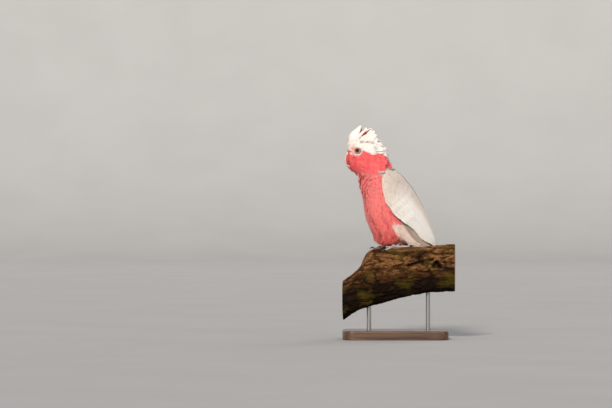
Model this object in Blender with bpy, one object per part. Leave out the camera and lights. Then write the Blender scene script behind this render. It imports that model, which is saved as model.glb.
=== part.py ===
"""A galah at life size, standing on a cut length of branch that a small display stand holds up.

Metres, +Z up. The origin is the centre of the base's underside, and +X runs along the branch.
The bird is modelled in its own frame (+X ahead, +Y its left, +Z up, origin between its feet on the
branch) and placed by the empty galah_frame. Solids carry the outer surface of the plumage.
"""

import math

import bmesh
import bpy
from mathutils import Matrix, Vector, noise
from mathutils.bvhtree import BVHTree

MM = 0.001
GAP = 0.4 * MM  # between pieces that touch

# Bird: where it stands and which way it looks
PERCH_TOP = 182 * MM  # top of the branch under the feet, above the floor
BIRD_SHIFT_Y = 14 * MM  # the bird's middle is behind the branch's ridge, and its tail behind it all
BODY_TURN = math.radians(33)  # the body's heading, from -X towards -Y
HEAD_TURN = math.radians(-31)  # the head turns back to look along the branch
NECK_AXIS = 50 * MM  # the upright line that the head turns on

# Eye
EYE_AT = Vector((83.5, 14.0, 194.0)) * MM
EYE_RADIUS = 6.6 * MM
EYE_DISH_RADIUS = 10.5 * MM  # the bare skin round the eye lies in a shallow dish
EYE_DISH_DEPTH = 4.5 * MM

# Tail
TAIL_ROOT = Vector((-44.0, 0.0, 38.0)) * MM
TAIL_SLOPE = math.radians(54)  # below level
TAIL_LENGTH = 134 * MM
TAIL_THICKNESS = 3.4 * MM

# Legs and feet
FOOT_AHEAD = 6 * MM
FOOT_SPREAD = 13.5 * MM  # each foot's place either side of the middle
SHANK_RADIUS = 3.2 * MM
TOE_RADIUS = 2.7 * MM
CLAW_LENGTH = 10 * MM
CLAW_RADIUS = 1.8 * MM
TOE_RINGS = 5
TOE_SIDES = 8
# name: (turn from straight ahead in degrees, outwards positive; length)
TOES = {
    "inner_front": (-13, 21 * MM),
    "outer_front": (13, 30 * MM),
    "inner_back": (-160, 13 * MM),
    "outer_back": (150, 25 * MM),
}

# Branch: (along, centre height from the perch top, half height)
BRANCH = [
    (-104, -97, 48),
    (-84, -84, 48),
    (-66, -70, 51),
    (-46, -59, 57),
    (-20, -54, 54),
    (0, -51, 51),
    (50, -45, 48),
    (90, -41, 48),
    (120, -38, 47),
]
BRANCH_DEPTH = 0.78  # of its height
BRANCH_YAW = math.radians(-3.5)
BRANCH_RINGS = 26
BRANCH_SIDES = 18
BARK_STEP_AT = -60 * MM  # where the upper layer of old wood has broken away
BARK_STEP = 15 * MM

# Display stand
BASE_SIZE = Vector((210, 156, 18)) * MM
BASE_CORNER = 22 * MM
BASE_EDGE = 3 * MM
ROD_RADIUS = 4.5 * MM
ROD_PLACES = {"stand_rod_left": -52 * MM, "stand_rod_right": 66 * MM}
ROD_IN_BRANCH = 14 * MM
ROD_IN_BASE = 9 * MM

RING_SIDES = 20
RINGS_PER_SPAN = 2


class Station:
    """One cross-section of a form: its upper and lower points in side view, and its width."""

    def __init__(self, upper, lower, half_width, fullness=2.0, low_bias=0.0, turn=0.0):
        self.values = [*upper, *lower, half_width, fullness, low_bias, turn]


# The plumage from the face to the root of the tail. Upper and lower points are (ahead, up).
HEAD = [
    Station((103.8, 196), (98.5, 163.5), 9.5, 2.2, 0.10, 1),
    Station((103.8, 202), (98.0, 159.5), 15.0, 2.1, 0.14, 1),
    Station((101.5, 208), (96.5, 156), 19.3, 2.0, 0.16, 1),
    Station((95.0, 212.5), (91.5, 152), 22.3, 2.0, 0.16, 1),
    Station((84.0, 215.5), (85.5, 146.5), 24.6, 2.0, 0.14, 1),
    Station((66.0, 216.5), (79.5, 139.5), 26.0, 2.0, 0.10, 1),
    Station((46.0, 214.0), (75.0, 132.0), 27.5, 2.0, 0.06, 0.85),
]
NECK = [
    HEAD[-1],
    Station((29.0, 205.0), (71.5, 124.5), 30.0, 2.0, 0.03, 0.6),
    Station((23.0, 190.0), (69.0, 116.0), 33.5, 2.0, 0.0, 0.3),
    Station((16.5, 173.5), (67.0, 104.0), 36.5, 2.0, 0.0, 0.1),
]
TRUNK = [
    NECK[-1],
    Station((3.0, 156.0), (66.0, 90.0), 39.5, 2.0, 0.0),
    Station((-14.0, 136.0), (65.0, 74.0), 42.0, 2.1, 0.0),
    Station((-31.0, 114.0), (60.0, 54.0), 41.5, 2.1, 0.02),
    Station((-47.0, 93.0), (51.0, 34.0), 39.0, 2.1, 0.05),
    Station((-59.0, 74.0), (39.0, 13.0), 35.0, 2.1, 0.08),
    Station((-67.0, 58.0), (18.0, 6.5), 30.0, 2.1, 0.08),
    Station((-72.0, 44.0), (-14.0, 8.5), 24.5, 2.0, 0.0),
    Station((-77.0, 30.0), (-42.0, 6.0), 19.0, 2.0, 0.0),
    Station((-84.0, 16.0), (-62.0, -6.0), 13.5, 2.0, 0.0),
    Station((-90.0, 4.0), (-74.0, -20.0), 8.0, 2.0, 0.0),
]

UPPER_BILL = [
    Station((92.0, 197.0), (88.0, 174.0), 9.3, 2.0, 0.10, 1),
    Station((100.0, 195.5), (93.5, 171.0), 9.0, 2.0, 0.10, 1),
    Station((105.0, 190.0), (97.5, 169.0), 8.2, 1.9, 0.12, 1),
    Station((107.8, 183.5), (100.5, 168.5), 6.9, 1.8, 0.12, 1),
    Station((108.5, 176.5), (102.5, 168.0), 5.2, 1.8, 0.10, 1),
    Station((107.6, 171.0), (103.5, 167.4), 3.4, 1.9, 0.0, 1),
    Station((105.6, 166.8), (104.0, 166.2), 1.4, 2.0, 0.0, 1),
]
LOWER_BILL = [
    Station((86.0, 169.0), (88.0, 158.0), 8.2, 2.2, 0.0, 1),
    Station((92.0, 166.5), (93.0, 157.5), 7.9, 2.2, 0.0, 1),
    Station((97.0, 165.2), (97.5, 158.3), 6.9, 2.2, 0.0, 1),
    Station((101.0, 165.4), (100.5, 160.5), 5.4, 2.2, 0.0, 1),
    Station((103.0, 165.3), (102.6, 162.8), 3.2, 2.2, 0.0, 1),
]

# Wing, left side: lower edge, middle control point and upper edge at even steps to its tip
WING_EDGES = [
    ((46, 32, 150), (41, 35, 154), (35, 28, 154)),
    ((53.5, 36.5, 132), (37, 43, 149), (17, 24, 152)),
    ((52, 38, 110), (28, 51, 138), (-1, 18, 147)),
    ((45, 41, 88), (17, 55, 124), (-18, 13, 134)),
    ((29.5, 44.5, 70), (0, 56, 108), (-36, 8.5, 119)),
    ((6, 43, 51), (-17, 53, 90), (-52.5, 5.5, 99)),
    ((-20, 37.5, 36.5), (-36, 47, 68), (-66.5, 4.5, 78)),
    ((-43, 31, 17), (-55, 38, 44), (-78, 4, 54)),
    ((-63, 25, -1), (-72, 30, 20), (-88.5, 4, 28)),
    ((-79, 20, -15), (-85, 22, -4), (-95, 5, 4)),
]
WING_THICKNESS = 8.5 * MM
# Long outer feathers of the folded wing, which lie under its lower edge and run on to the tip
PRIMARY_EDGES = [
    ((8, 38.5, 46), (0, 41, 58), (-14, 40, 66)),
    ((-12, 35, 31), (-22, 38, 42), (-36, 33, 52)),
    ((-36, 29.5, 10.5), (-46, 32, 22), (-62, 22, 30)),
    ((-59, 25.2, -8), (-68, 26, 0), (-82, 13, 6)),
    ((-79, 22.0, -22), (-87, 20, -14), (-97, 5, -11)),
    ((-97, 17.0, -35), (-102, 15, -30), (-107, 5, -29)),
    ((-112, 10.5, -46.5), (-114, 9, -46), (-116, 6.0, -46.5)),
]
PRIMARY_THICKNESS = 2.6 * MM

# Raised crest locks: root of the front edge, root of the back edge, tip, how far the front
# edge and the back edge bow out, half width
CREST_LOCKS = [
    ((101.8, 202), (76, 208), (76.5, 244.0), 9.5, 5.5, 12.5),
    ((97.3, 204.5), (66, 207.4), (66.2, 239.6), 9.0, 6.5, 11.6),
    ((92.0, 209), (58, 209), (56.5, 239.0), 7.0, 6.0, 13.1),
    ((86.6, 207.3), (53, 206.2), (50.2, 233.9), 8.0, 4.0, 12.1),
    ((80.0, 210), (48, 207), (45.3, 226.6), 9.0, 1.5, 13.7),
    ((73.4, 205.6), (45, 203.1), (44.6, 218.3), 8.0, 0.5, 12.6),
]

CREST_RINGS = 7
CREST_SIDES = 10

# Feathered upper leg: (ahead, out, up), radius
THIGH = [
    ((10, 21, 58), 9.0),
    ((9, 22, 46), 13.0),
    ((5, 21, 33), 12.5),
    ((-1, 18, 23), 9.0),
    ((-5, 15.5, 16), 5.2),
]


def clear_scene():
    for obj in list(bpy.data.objects):
        bpy.data.objects.remove(obj)


def material(name, colour, roughness, metallic=0.0):
    made = bpy.data.materials.new(name)
    made.use_nodes = True
    shader = made.node_tree.nodes["Principled BSDF"]
    shader.inputs["Base Color"].default_value = (*colour, 1)
    shader.inputs["Roughness"].default_value = roughness
    shader.inputs["Metallic"].default_value = metallic
    made.diffuse_color = (*colour, 1)
    return made


def collection(name, helper=False):
    made = bpy.data.collections.new(name)
    bpy.context.scene.collection.children.link(made)
    made.hide_render = helper
    return made


def add_object(name, bm, group, surface=None, parent=None):
    """Makes an object from a bmesh, with its faces pointing out."""
    bmesh.ops.recalc_face_normals(bm, faces=bm.faces)
    mesh = bpy.data.meshes.new(name)
    bm.to_mesh(mesh)
    bm.free()
    if surface:
        mesh.materials.append(surface)
    mesh.shade_smooth()
    mesh.set_sharp_from_angle(angle=math.radians(50))
    obj = bpy.data.objects.new(name, mesh)
    group.objects.link(obj)
    obj.parent = parent
    if group.hide_render:
        obj.hide_render = True
        obj.display_type = "WIRE"
    return obj


def smooth_between(rows, place):
    """Catmull-Rom value at a place counted in rows, for lists of equal length."""
    last = len(rows) - 1
    i = min(int(place), last - 1)
    t = place - i
    a, b = rows[max(i - 1, 0)], rows[i]
    c, d = rows[i + 1], rows[min(i + 2, last)]
    return [
        0.5 * (2 * q + t * (r - p) + t * t * (2 * p - 5 * q + 4 * r - s)
               + t ** 3 * (3 * q - p - 3 * r + s))
        for p, q, r, s in zip(a, b, c, d)
    ]


def steps(first, last, count):
    return [first + (last - first) * i / count for i in range(count + 1)]


def turned(point, share):
    """Turns a point of the head or neck about the neck's upright axis."""
    axis = Vector((NECK_AXIS, 0, 0))
    return Matrix.Rotation(HEAD_TURN * share, 3, "Z") @ (point - axis) + axis


def station_ring(values, sides, swell=0.0):
    """The closed ring of points of one station."""
    upper_x, upper_z, lower_x, lower_z, width, fullness, low_bias, turn = values
    upper = Vector((upper_x, 0, upper_z)) * MM
    lower = Vector((lower_x, 0, lower_z)) * MM
    middle = (upper + lower) / 2
    along = upper - lower
    half_height = along.length / 2 + swell
    along.normalize()
    ring = []
    for i in range(sides):
        angle = 2 * math.pi * i / sides
        across, up = math.cos(angle), math.sin(angle)
        power = 2 / fullness
        side = math.copysign(abs(across) ** power, across) * (1 - low_bias * up)
        rise = math.copysign(abs(up) ** power, up)
        point = middle + along * half_height * rise
        point.y = (width * MM + swell) * side
        ring.append(turned(point, turn))
    return ring


def walls(rings):
    """A bmesh with the side faces through rings of equal length, and its rows of vertices."""
    bm = bmesh.new()
    rows = [[bm.verts.new(p) for p in ring] for ring in rings]
    for a, b in zip(rows, rows[1:]):
        for i in range(len(a)):
            j = (i + 1) % len(a)
            bm.faces.new((a[i], a[j], b[j], b[i]))
    return bm, rows


def loft(rings, cap_out=(0.0, 0.0)):
    """A closed bmesh through rings of equal length. Each end is a fan, domed by cap_out."""
    bm, rows = walls(rings)
    for row, beside, out in ((rows[0], rows[1], cap_out[0]), (rows[-1], rows[-2], cap_out[1])):
        centre = sum((v.co for v in row), Vector()) / len(row)
        inside = sum((v.co for v in beside), Vector()) / len(row)
        tip = bm.verts.new(centre + (centre - inside).normalized() * out)
        for i in range(len(row)):
            bm.faces.new((row[i], row[(i + 1) % len(row)], tip))
    return bm


def station_loft(stations, sides, per_span, swell=0.0, cap_out=(0.0, 0.0)):
    rows = [s.values for s in stations]
    count = per_span * (len(rows) - 1)
    places = steps(0, len(rows) - 1, count)
    return [station_ring(smooth_between(rows, p), sides, swell) for p in places]


def drawn_in(rings, at_start, at_end):
    """Moves the first or last ring inwards by half a gap, where the next node begins."""
    centres = [sum(r, Vector()) / len(r) for r in rings]
    if at_start:
        shift = (centres[1] - centres[0]).normalized() * GAP / 2
        rings[0] = [p + shift for p in rings[0]]
    if at_end:
        shift = (centres[-2] - centres[-1]).normalized() * GAP / 2
        rings[-1] = [p + shift for p in rings[-1]]
    return rings


def curved_edge(low, middle, high, share):
    """A point on the curve from a blade's lower edge to its upper edge."""
    a, b, c = (1 - share) ** 2, 2 * share * (1 - share), share ** 2
    return low * a + middle * b + high * c


def blade(point_at, thickness_at, lengths, widths, swell=0.0):
    """A thin solid about the surface point_at(length share, width share)."""
    small = 1e-3
    rings = []
    for t in steps(0, 1, lengths):
        outer, inner = [], []
        for f in steps(0, 1, widths):
            here = point_at(t, f)
            ahead = (point_at(min(t + small, 1), f) - point_at(max(t - small, 0), f)).normalized()
            across = point_at(t, min(f + small, 1)) - point_at(t, max(f - small, 0))
            across.normalize()
            normal = ahead.cross(across).normalized()
            half = thickness_at(t, f) / 2 + swell
            here += across * swell * (1 if f == 1 else -1 if f == 0 else 0)
            here += ahead * swell * (1 if t == 1 else -1 if t == 0 else 0)
            outer.append(here + normal * half)
            inner.append(here - normal * half)
        rings.append(outer + inner[::-1])
    bm, rows = walls(rings)
    for row in (rows[0], rows[-1]):
        for i in range(widths):
            bm.faces.new((row[i], row[i + 1], row[-i - 2], row[-i - 1]))
    return bm


def edge_surface(edges, side=1):
    """point_at for a blade given by rows of lower, middle and upper points in millimetres."""
    rows = [[x * MM for point in row for x in point] for row in edges]

    def point_at(t, f):
        v = smooth_between(rows, t * (len(rows) - 1))
        point = curved_edge(Vector(v[0:3]), Vector(v[3:6]), Vector(v[6:9]), f)
        point.y *= side
        return point

    return point_at


def lens(full, edge):
    """Thickness across a blade: full in the middle and thin at both edges and at the tip."""

    def thickness_at(t, f):
        across = math.sin(math.pi * f) ** 0.6
        along = min(1.0, 0.25 + 3.0 * t) * (1 - 0.55 * t ** 2)
        return edge + (full - edge) * across * along

    return thickness_at


def cut(obj, *cutters):
    """Takes cutters out of an object, with the result applied."""
    for cutter in cutters:
        boolean = obj.modifiers.new("cut", "BOOLEAN")
        boolean.operation = "DIFFERENCE"
        boolean.solver = "EXACT"
        boolean.object = cutter


def union(obj, others):
    for other in others:
        boolean = obj.modifiers.new("join", "BOOLEAN")
        boolean.operation = "UNION"
        boolean.solver = "EXACT"
        boolean.use_self = True
        boolean.object = other


def tube(points, radii, sides=10, cap_out=(0.0, 0.0), phase=0.0):
    """A round loft along points, with a radius at each and no twist."""
    rings = []
    across = Vector((0, 1, 0))
    for i, point in enumerate(points):
        ahead = (points[min(i + 1, len(points) - 1)] - points[max(i - 1, 0)]).normalized()
        if i == 0 and abs(ahead.y) > 0.9:
            across = Vector((1, 0, 0))
        across = (across - ahead * across.dot(ahead)).normalized()
        up = across.cross(ahead)
        rings.append([
            point + (across * math.cos(a) + up * math.sin(a)) * radii[i]
            for a in (2 * math.pi * (k + phase) / sides for k in range(sides))
        ])
    return loft(rings, cap_out)


def branch_ring(values, share):
    """One ring of the branch, with ridges of old wood along it and a broken step on its top."""
    along, height, half = (v * MM for v in values)
    ring = []
    for i in range(BRANCH_SIDES):
        angle = 2 * math.pi * i / BRANCH_SIDES
        up, out = math.sin(angle), math.cos(angle)
        power = 2 / 2.3
        z = math.copysign(abs(up) ** power, up) * half
        y = math.copysign(abs(out) ** power, out) * half * BRANCH_DEPTH
        lumps = noise.noise(Vector((along * 22, out * 1.6, up * 1.6))) * 3.2 * MM
        ridges = noise.noise(Vector((along * 9, out * 5, up * 5 + 7))) * 2.4 * MM
        grow = 1 + (lumps + ridges) / half * (1 - 0.75 * max(0.0, up) ** 2)
        z, y = z * grow, y * grow
        broken = min(1.0, max(0.0, (BARK_STEP_AT - along) / (9 * MM)))
        z -= BARK_STEP * broken * max(0.0, up) ** 1.5
        ring.append(Vector((along, y, height + z)))
    return ring


def build_branch(group, surface):
    """The cut length of branch: a bent, ridged log with flat sawn ends."""
    places = steps(0, len(BRANCH) - 1, BRANCH_RINGS)
    rings = [branch_ring(smooth_between(BRANCH, p), p) for p in places]
    bm = loft(rings)
    bmesh.ops.rotate(bm, cent=(0, 0, 0), matrix=Matrix.Rotation(BRANCH_YAW, 3, "Z"), verts=bm.verts)
    bmesh.ops.translate(bm, vec=(0, 0, PERCH_TOP), verts=bm.verts)
    return add_object("perch_branch", bm, group, surface)


def build_stand(group, cutters, branch, wood, steel):
    """A flat base with round corners, and two rods let into it and into the branch."""
    bm = bmesh.new()
    bmesh.ops.create_cube(bm, size=1, matrix=Matrix.Diagonal((*BASE_SIZE, 1)))
    bmesh.ops.translate(bm, vec=(0, 0, BASE_SIZE.z / 2), verts=bm.verts)
    upright = [e for e in bm.edges if abs(e.verts[0].co.z - e.verts[1].co.z) > GAP]
    bmesh.ops.bevel(bm, geom=upright, offset=BASE_CORNER, affect="EDGES", segments=5, profile=0.5)
    rim = [
        e for e in bm.edges
        if min(v.co.z for v in e.verts) > BASE_SIZE.z - GAP and len(e.link_faces) == 2
    ]
    bmesh.ops.bevel(bm, geom=rim, offset=BASE_EDGE, affect="EDGES", segments=2, profile=0.5)
    base = add_object("stand_base", bm, group, wood)
    inside = BVHTree.FromObject(branch, bpy.context.evaluated_depsgraph_get())
    for name, x in ROD_PLACES.items():
        hit = inside.ray_cast(Vector((x, 0, 0)), Vector((0, 0, 1)))[0]
        low, high = BASE_SIZE.z - ROD_IN_BASE, hit.z + ROD_IN_BRANCH
        for made, radius, more, where, paint in (
            (name, ROD_RADIUS, 0.0, group, steel),
            (name + "_hole", ROD_RADIUS + GAP, GAP, cutters, None),
        ):
            bm = bmesh.new()
            bmesh.ops.create_cone(
                bm, cap_ends=True, segments=24, radius1=radius, radius2=radius,
                depth=high - low + 2 * more,
                matrix=Matrix.Translation((x, 0, (high + low) / 2)),
            )
            rod = add_object(made, bm, where, paint)
        cut(branch, rod)
        cut(base, rod)


def crest_lock(front, back, tip, bow_front, bow_back, half_width, taper=0.28):
    """A raised lock of crest feathers, with both edges bowed out and a blunt tip."""
    front, back, tip = (Vector((p[0], 0, p[1])) * MM for p in (front, back, tip))
    rings = []
    for t in steps(0, 1, CREST_RINGS):
        swell = math.sin(math.pi * t ** 0.85)
        fore = front.lerp(tip, t) + Vector((1, 0, 0.4)) * bow_front * MM * swell
        aft = back.lerp(tip, t) + Vector((-1, 0, 0.4)) * bow_back * MM * swell
        if t == 1:
            fore, aft = tip + Vector((1.6, 0, -0.4)) * MM, tip - Vector((1.6, 0, 1.0)) * MM
        middle, along = (fore + aft) / 2, (fore - aft) / 2
        width = half_width * MM * (1 - (1 - taper) * t ** 1.3)
        ring = []
        for k in range(CREST_SIDES):
            angle = 2 * math.pi * (k + 0.5) / CREST_SIDES
            point = middle + along * math.cos(angle)
            point.y = width * math.sin(angle)
            ring.append(turned(point, 1))
        rings.append(ring)
    return loft(rings, (0, 0.6 * MM))


def build_head(group, cutters, frame, paint):
    """Head, crest, both halves of the bill, and the eyes."""
    rings = drawn_in(station_loft(HEAD, RING_SIDES, RINGS_PER_SPAN), False, True)
    head = add_object("head", loft(rings, (1.2 * MM, 0)), group, paint["pink"], frame)
    for name, stations in (("bill_upper", UPPER_BILL), ("bill_lower", LOWER_BILL)):
        dome = 0.8 * MM
        solid = loft(station_loft(stations, 14, 2), (0, dome))
        add_object(name, solid, group, paint["horn"], frame)
        room = loft(station_loft(stations, 14, 2, GAP), (GAP, dome + GAP))
        cut(head, add_object(name + "_room", room, cutters, None, frame))
    for name, side in (("eye_left", 1), ("eye_right", -1)):
        at = turned(Vector((EYE_AT.x, EYE_AT.y * side, EYE_AT.z)), 1)
        for made, radius, where, surface in (
            (name, EYE_RADIUS, group, paint["eye"]),
            (name + "_room", EYE_RADIUS + GAP, cutters, None),
        ):
            bm = bmesh.new()
            bmesh.ops.create_uvsphere(bm, u_segments=12, v_segments=8, radius=radius)
            eye = add_object(made, bm, where, surface, frame)
            eye.location = at
        bm = bmesh.new()
        bmesh.ops.create_uvsphere(bm, u_segments=16, v_segments=9, radius=EYE_DISH_RADIUS)
        dish = add_object(name + "_dish", bm, cutters, None, frame)
        beside = EYE_AT.y + EYE_RADIUS - EYE_DISH_DEPTH + EYE_DISH_RADIUS
        dish.location = turned(Vector((EYE_AT.x, beside * side, EYE_AT.z)), 1)
        cut(head, dish, eye)
    locks = []
    for i, lock in enumerate(CREST_LOCKS):
        where = cutters if i else group
        name = f"crest_lock_{i}" if i else "crest"
        locks.append(add_object(name, crest_lock(*lock), where, paint["white"], frame))
    union(locks[0], locks[1:])
    for name, stations in (("head_room", HEAD), ("neck_room", NECK)):
        rings = station_loft(stations, RING_SIDES, RINGS_PER_SPAN, GAP)
        cut(locks[0], add_object(name, loft(rings, (2 * MM, 0)), cutters, None, frame))
    return head


def build_body(group, cutters, frame, paint):
    """Neck and trunk, cut to leave room for what lies on them."""
    neck_rings = drawn_in(station_loft(NECK, RING_SIDES, RINGS_PER_SPAN), True, True)
    neck = add_object("neck", loft(neck_rings), group, paint["pink"], frame)
    trunk_rings = drawn_in(station_loft(TRUNK, RING_SIDES, RINGS_PER_SPAN), True, False)
    trunk = add_object("trunk", loft(trunk_rings, (0, 2 * MM)), group, paint["rose"], frame)
    return neck, trunk


def build_wings(group, cutters, frame, paint, neck, trunk):
    """The folded wings, each with its long outer feathers as a second blade."""
    primaries_made = []
    for word, side in (("left", 1), ("right", -1)):
        wing_at, thick = edge_surface(WING_EDGES, side), lens(WING_THICKNESS, 1.3 * MM)
        long_at, thin = edge_surface(PRIMARY_EDGES, side), lens(PRIMARY_THICKNESS, 1.2 * MM)
        add_object(f"wing_{word}", blade(wing_at, thick, 14, 7), group, paint["grey"], frame)
        room = blade(wing_at, thick, 14, 7, GAP)
        room = add_object(f"wing_{word}_room", room, cutters, None, frame)
        primaries = blade(long_at, thin, 10, 5)
        primaries = add_object(f"primaries_{word}", primaries, group, paint["slate"], frame)
        cut(primaries, room)
        primaries_made.append(primaries)
        under = blade(long_at, thin, 10, 5, GAP)
        under = add_object(f"primaries_{word}_room", under, cutters, None, frame)
        cut(neck, room)
        cut(trunk, room, under)
    return primaries_made


def build_tail(group, cutters, frame, paint, others):
    """Twelve closed tail feathers as one shallow arched fan with a rounded end."""
    back = Vector((-math.cos(TAIL_SLOPE), 0, -math.sin(TAIL_SLOPE)))
    up = Vector((-math.sin(TAIL_SLOPE), 0, math.cos(TAIL_SLOPE)))

    def tail_at(t, f):
        across = 2 * f - 1
        half = (11 + 14 * t ** 0.8) * MM
        reach = TAIL_LENGTH * t * (1 - 0.075 * t * across ** 2)
        arch = 3.2 * MM * (1 - across ** 2)
        return TAIL_ROOT + back * reach + up * (arch - 3 * MM) + Vector((0, half * across, 0))

    def thickness(t, f):
        return TAIL_THICKNESS * (1 - 0.45 * t) * (0.55 + 0.45 * math.sin(math.pi * f))

    add_object("tail", blade(tail_at, thickness, 8, 8), group, paint["slate"], frame)
    room = add_object("tail_room", blade(tail_at, thickness, 8, 8, GAP), cutters, None, frame)
    for other in others:
        cut(other, room)


def bark_surface(branch, frame):
    """The branch's surface in the bird's own frame."""
    bpy.context.view_layer.update()
    to_bird = frame.matrix_world.inverted()
    points = [to_bird @ v.co for v in branch.data.vertices]
    return BVHTree.FromPolygons(points, [p.vertices for p in branch.data.polygons])


def clear_of(bark, centre, radius):
    """A ball's centre moved out of the branch, so that it just clears the bark."""
    for _ in range(4):
        nearest, normal = bark.find_nearest(centre)[:2]
        outward = centre - nearest
        inside = outward.dot(normal) < 0
        if inside or outward.length < radius + GAP:
            outward = normal if inside else outward.normalized()
            centre = nearest + outward * (radius + 1.1 * GAP)
    return centre


def follow(bark, start, heading, length, radii):
    """Centres of a toe that bends round the branch, one for each radius."""
    point, normal = bark.find_nearest(start)[:2]
    centres = []
    for radius in radii:
        centres.append(clear_of(bark, point + normal * (radius + GAP), radius))
        heading = (heading - normal * heading.dot(normal)).normalized()
        step = heading * length / (len(radii) - 1)
        point, normal = bark.find_nearest(point + step)[:2]
    return centres, heading, normal


def build_claw(name, group, cutters, frame, surface, bark, toe, toe_radii):
    """One hooked claw beyond the end of a toe."""
    ahead = (toe[-1] - toe[-2]).normalized()
    up = bark.find_nearest(toe[-1])[1]
    root = toe[-1] + ahead * (0.8 * MM) + up * (0.5 * MM)
    points, radii = [], []
    for t in steps(0, 1, 4):
        radius = CLAW_RADIUS * (1 - t) ** 0.8 + 0.4 * MM
        point = root + ahead * CLAW_LENGTH * 0.9 * t
        point += up * (1.5 * MM * math.sin(math.pi * t) - 2.5 * MM * t)
        points.append(clear_of(bark, point, radius))
        radii.append(radius)
    claw = add_object(name, tube(points, radii, 6, (0, 0.3 * MM)), group, surface, frame)
    room = tube(toe, [r + GAP for r in toe_radii], TOE_SIDES, (GAP, 1.2 * MM + GAP))
    cut(claw, add_object(name + "_room", room, cutters, None, frame))


def build_legs(group, cutters, frame, paint, trunk, branch):
    """Feathered thighs, and bare legs whose feet have two toes ahead and two behind."""
    bark = bark_surface(branch, frame)
    for word, side in (("left", 1), ("right", -1)):
        points = [Vector((p[0], p[1] * side, p[2])) * MM for p, _ in THIGH]
        radii = [r * MM for _, r in THIGH]
        thigh = tube(points, radii, 14, (4 * MM, 1 * MM))
        add_object(f"thigh_{word}", thigh, group, paint["pale"], frame)
        room = tube(points, [r + GAP for r in radii], 14, (4 * MM + GAP, 1 * MM + GAP))
        thigh_room = add_object(f"thigh_{word}_room", room, cutters, None, frame)
        cut(trunk, thigh_room)

        sole = bark.find_nearest(Vector((FOOT_AHEAD, FOOT_SPREAD * side, 0)))
        foot = sole[0] + sole[1] * (TOE_RADIUS * 1.15 + GAP)
        ankle = points[-1] + Vector((1, 0, 2)) * MM
        heel = ankle.lerp(foot, 0.5) + Vector((-1.5 * MM, 0, -1 * MM))
        shank = [ankle, heel, foot]
        radii = [SHANK_RADIUS * k for k in (1.0, 0.95, 1.05)]
        leg = add_object(f"leg_{word}", tube(shank, radii, 10), group, paint["leg"], frame)
        toes = []
        for i, (toe, (turn, length)) in enumerate(TOES.items()):
            angle = math.radians(turn) * side
            heading = Vector((math.cos(angle), math.sin(angle), 0))
            radii = [
                TOE_RADIUS * (1 - 0.28 * t) * (1 + 0.10 * math.cos(t * math.pi * 4))
                for t in steps(0, 1, TOE_RINGS)
            ]
            start = sole[0] + heading * (0.8 + 0.3 * i) * MM
            path = follow(bark, start, heading, length, radii)[0]
            solid = tube(path, radii, TOE_SIDES, (0.5 * MM, 1.2 * MM), 0.13 * (i + 1))
            toes.append(add_object(f"toe_{word}_{toe}", solid, cutters, None, frame))
            build_claw(f"claw_{word}_{toe}", group, cutters, frame, paint["claw"], bark, path, radii)
        union(leg, toes)
        cut(leg, thigh_room)
        room = tube(shank, [SHANK_RADIUS + GAP] * 3, 10, (GAP, GAP))
        cut(trunk, add_object(f"leg_{word}_room", room, cutters, None, frame))


def main():
    clear_scene()
    group = collection("galah")
    cutters = collection("cutters", helper=True)
    paint = {
        "pink": material("rose_pink_plumage", (0.86, 0.20, 0.19), 0.8),
        "rose": material("breast_plumage", (0.80, 0.24, 0.20), 0.8),
        "white": material("crest_plumage", (0.88, 0.80, 0.74), 0.8),
        "grey": material("wing_plumage", (0.62, 0.56, 0.52), 0.75),
        "slate": material("flight_feathers", (0.24, 0.22, 0.21), 0.7),
        "pale": material("vent_plumage", (0.68, 0.58, 0.53), 0.8),
        "horn": material("bill_horn", (0.74, 0.66, 0.55), 0.45),
        "eye": material("dark_eye", (0.03, 0.015, 0.012), 0.08),
        "leg": material("leg_skin", (0.36, 0.31, 0.29), 0.7),
        "claw": material("claw_horn", (0.10, 0.085, 0.08), 0.4),
        "bark": material("old_bark", (0.17, 0.10, 0.055), 0.95),
        "wood": material("base_wood", (0.16, 0.085, 0.045), 0.5),
        "steel": material("rod_steel", (0.45, 0.45, 0.46), 0.35, 1.0),
    }
    frame = bpy.data.objects.new("galah_frame", None)
    group.objects.link(frame)
    frame.location = (0, BIRD_SHIFT_Y, PERCH_TOP)
    frame.rotation_euler = (0, 0, math.pi + BODY_TURN)

    branch = build_branch(group, paint["bark"])
    build_head(group, cutters, frame, paint)
    neck, trunk = build_body(group, cutters, frame, paint)
    primaries = build_wings(group, cutters, frame, paint, neck, trunk)
    build_tail(group, cutters, frame, paint, [trunk, *primaries])
    build_legs(group, cutters, frame, paint, trunk, branch)
    build_stand(group, cutters, branch, paint["wood"], paint["steel"])


main()
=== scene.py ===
"""A life-size galah on a cut length of branch, with its display stand, dressed for the camera."""

import itertools
import math
from types import SimpleNamespace

import bmesh
import bpy
import numpy as np
from mathutils import Matrix, Vector, noise
from mathutils.bvhtree import BVHTree
from mathutils.kdtree import KDTree


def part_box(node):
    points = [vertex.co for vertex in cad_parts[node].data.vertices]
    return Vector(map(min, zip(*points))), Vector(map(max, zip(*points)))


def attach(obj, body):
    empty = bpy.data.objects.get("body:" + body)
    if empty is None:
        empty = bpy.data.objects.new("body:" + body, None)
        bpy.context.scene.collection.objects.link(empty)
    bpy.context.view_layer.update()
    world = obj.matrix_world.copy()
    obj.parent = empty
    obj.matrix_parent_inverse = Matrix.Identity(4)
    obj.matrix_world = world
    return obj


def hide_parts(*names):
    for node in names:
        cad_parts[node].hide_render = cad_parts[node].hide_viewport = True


bl_info = {
    "name": "Galah on a Branch",
    "version": (1, 0, 0),
    "blender": (4, 5, 0),
    "location": "3D View > Sidebar > Galah",
    "description": "Builds the plumage, bill, eyes, feet, perch and stand of a still galah",
    "category": "Object",
}

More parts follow.
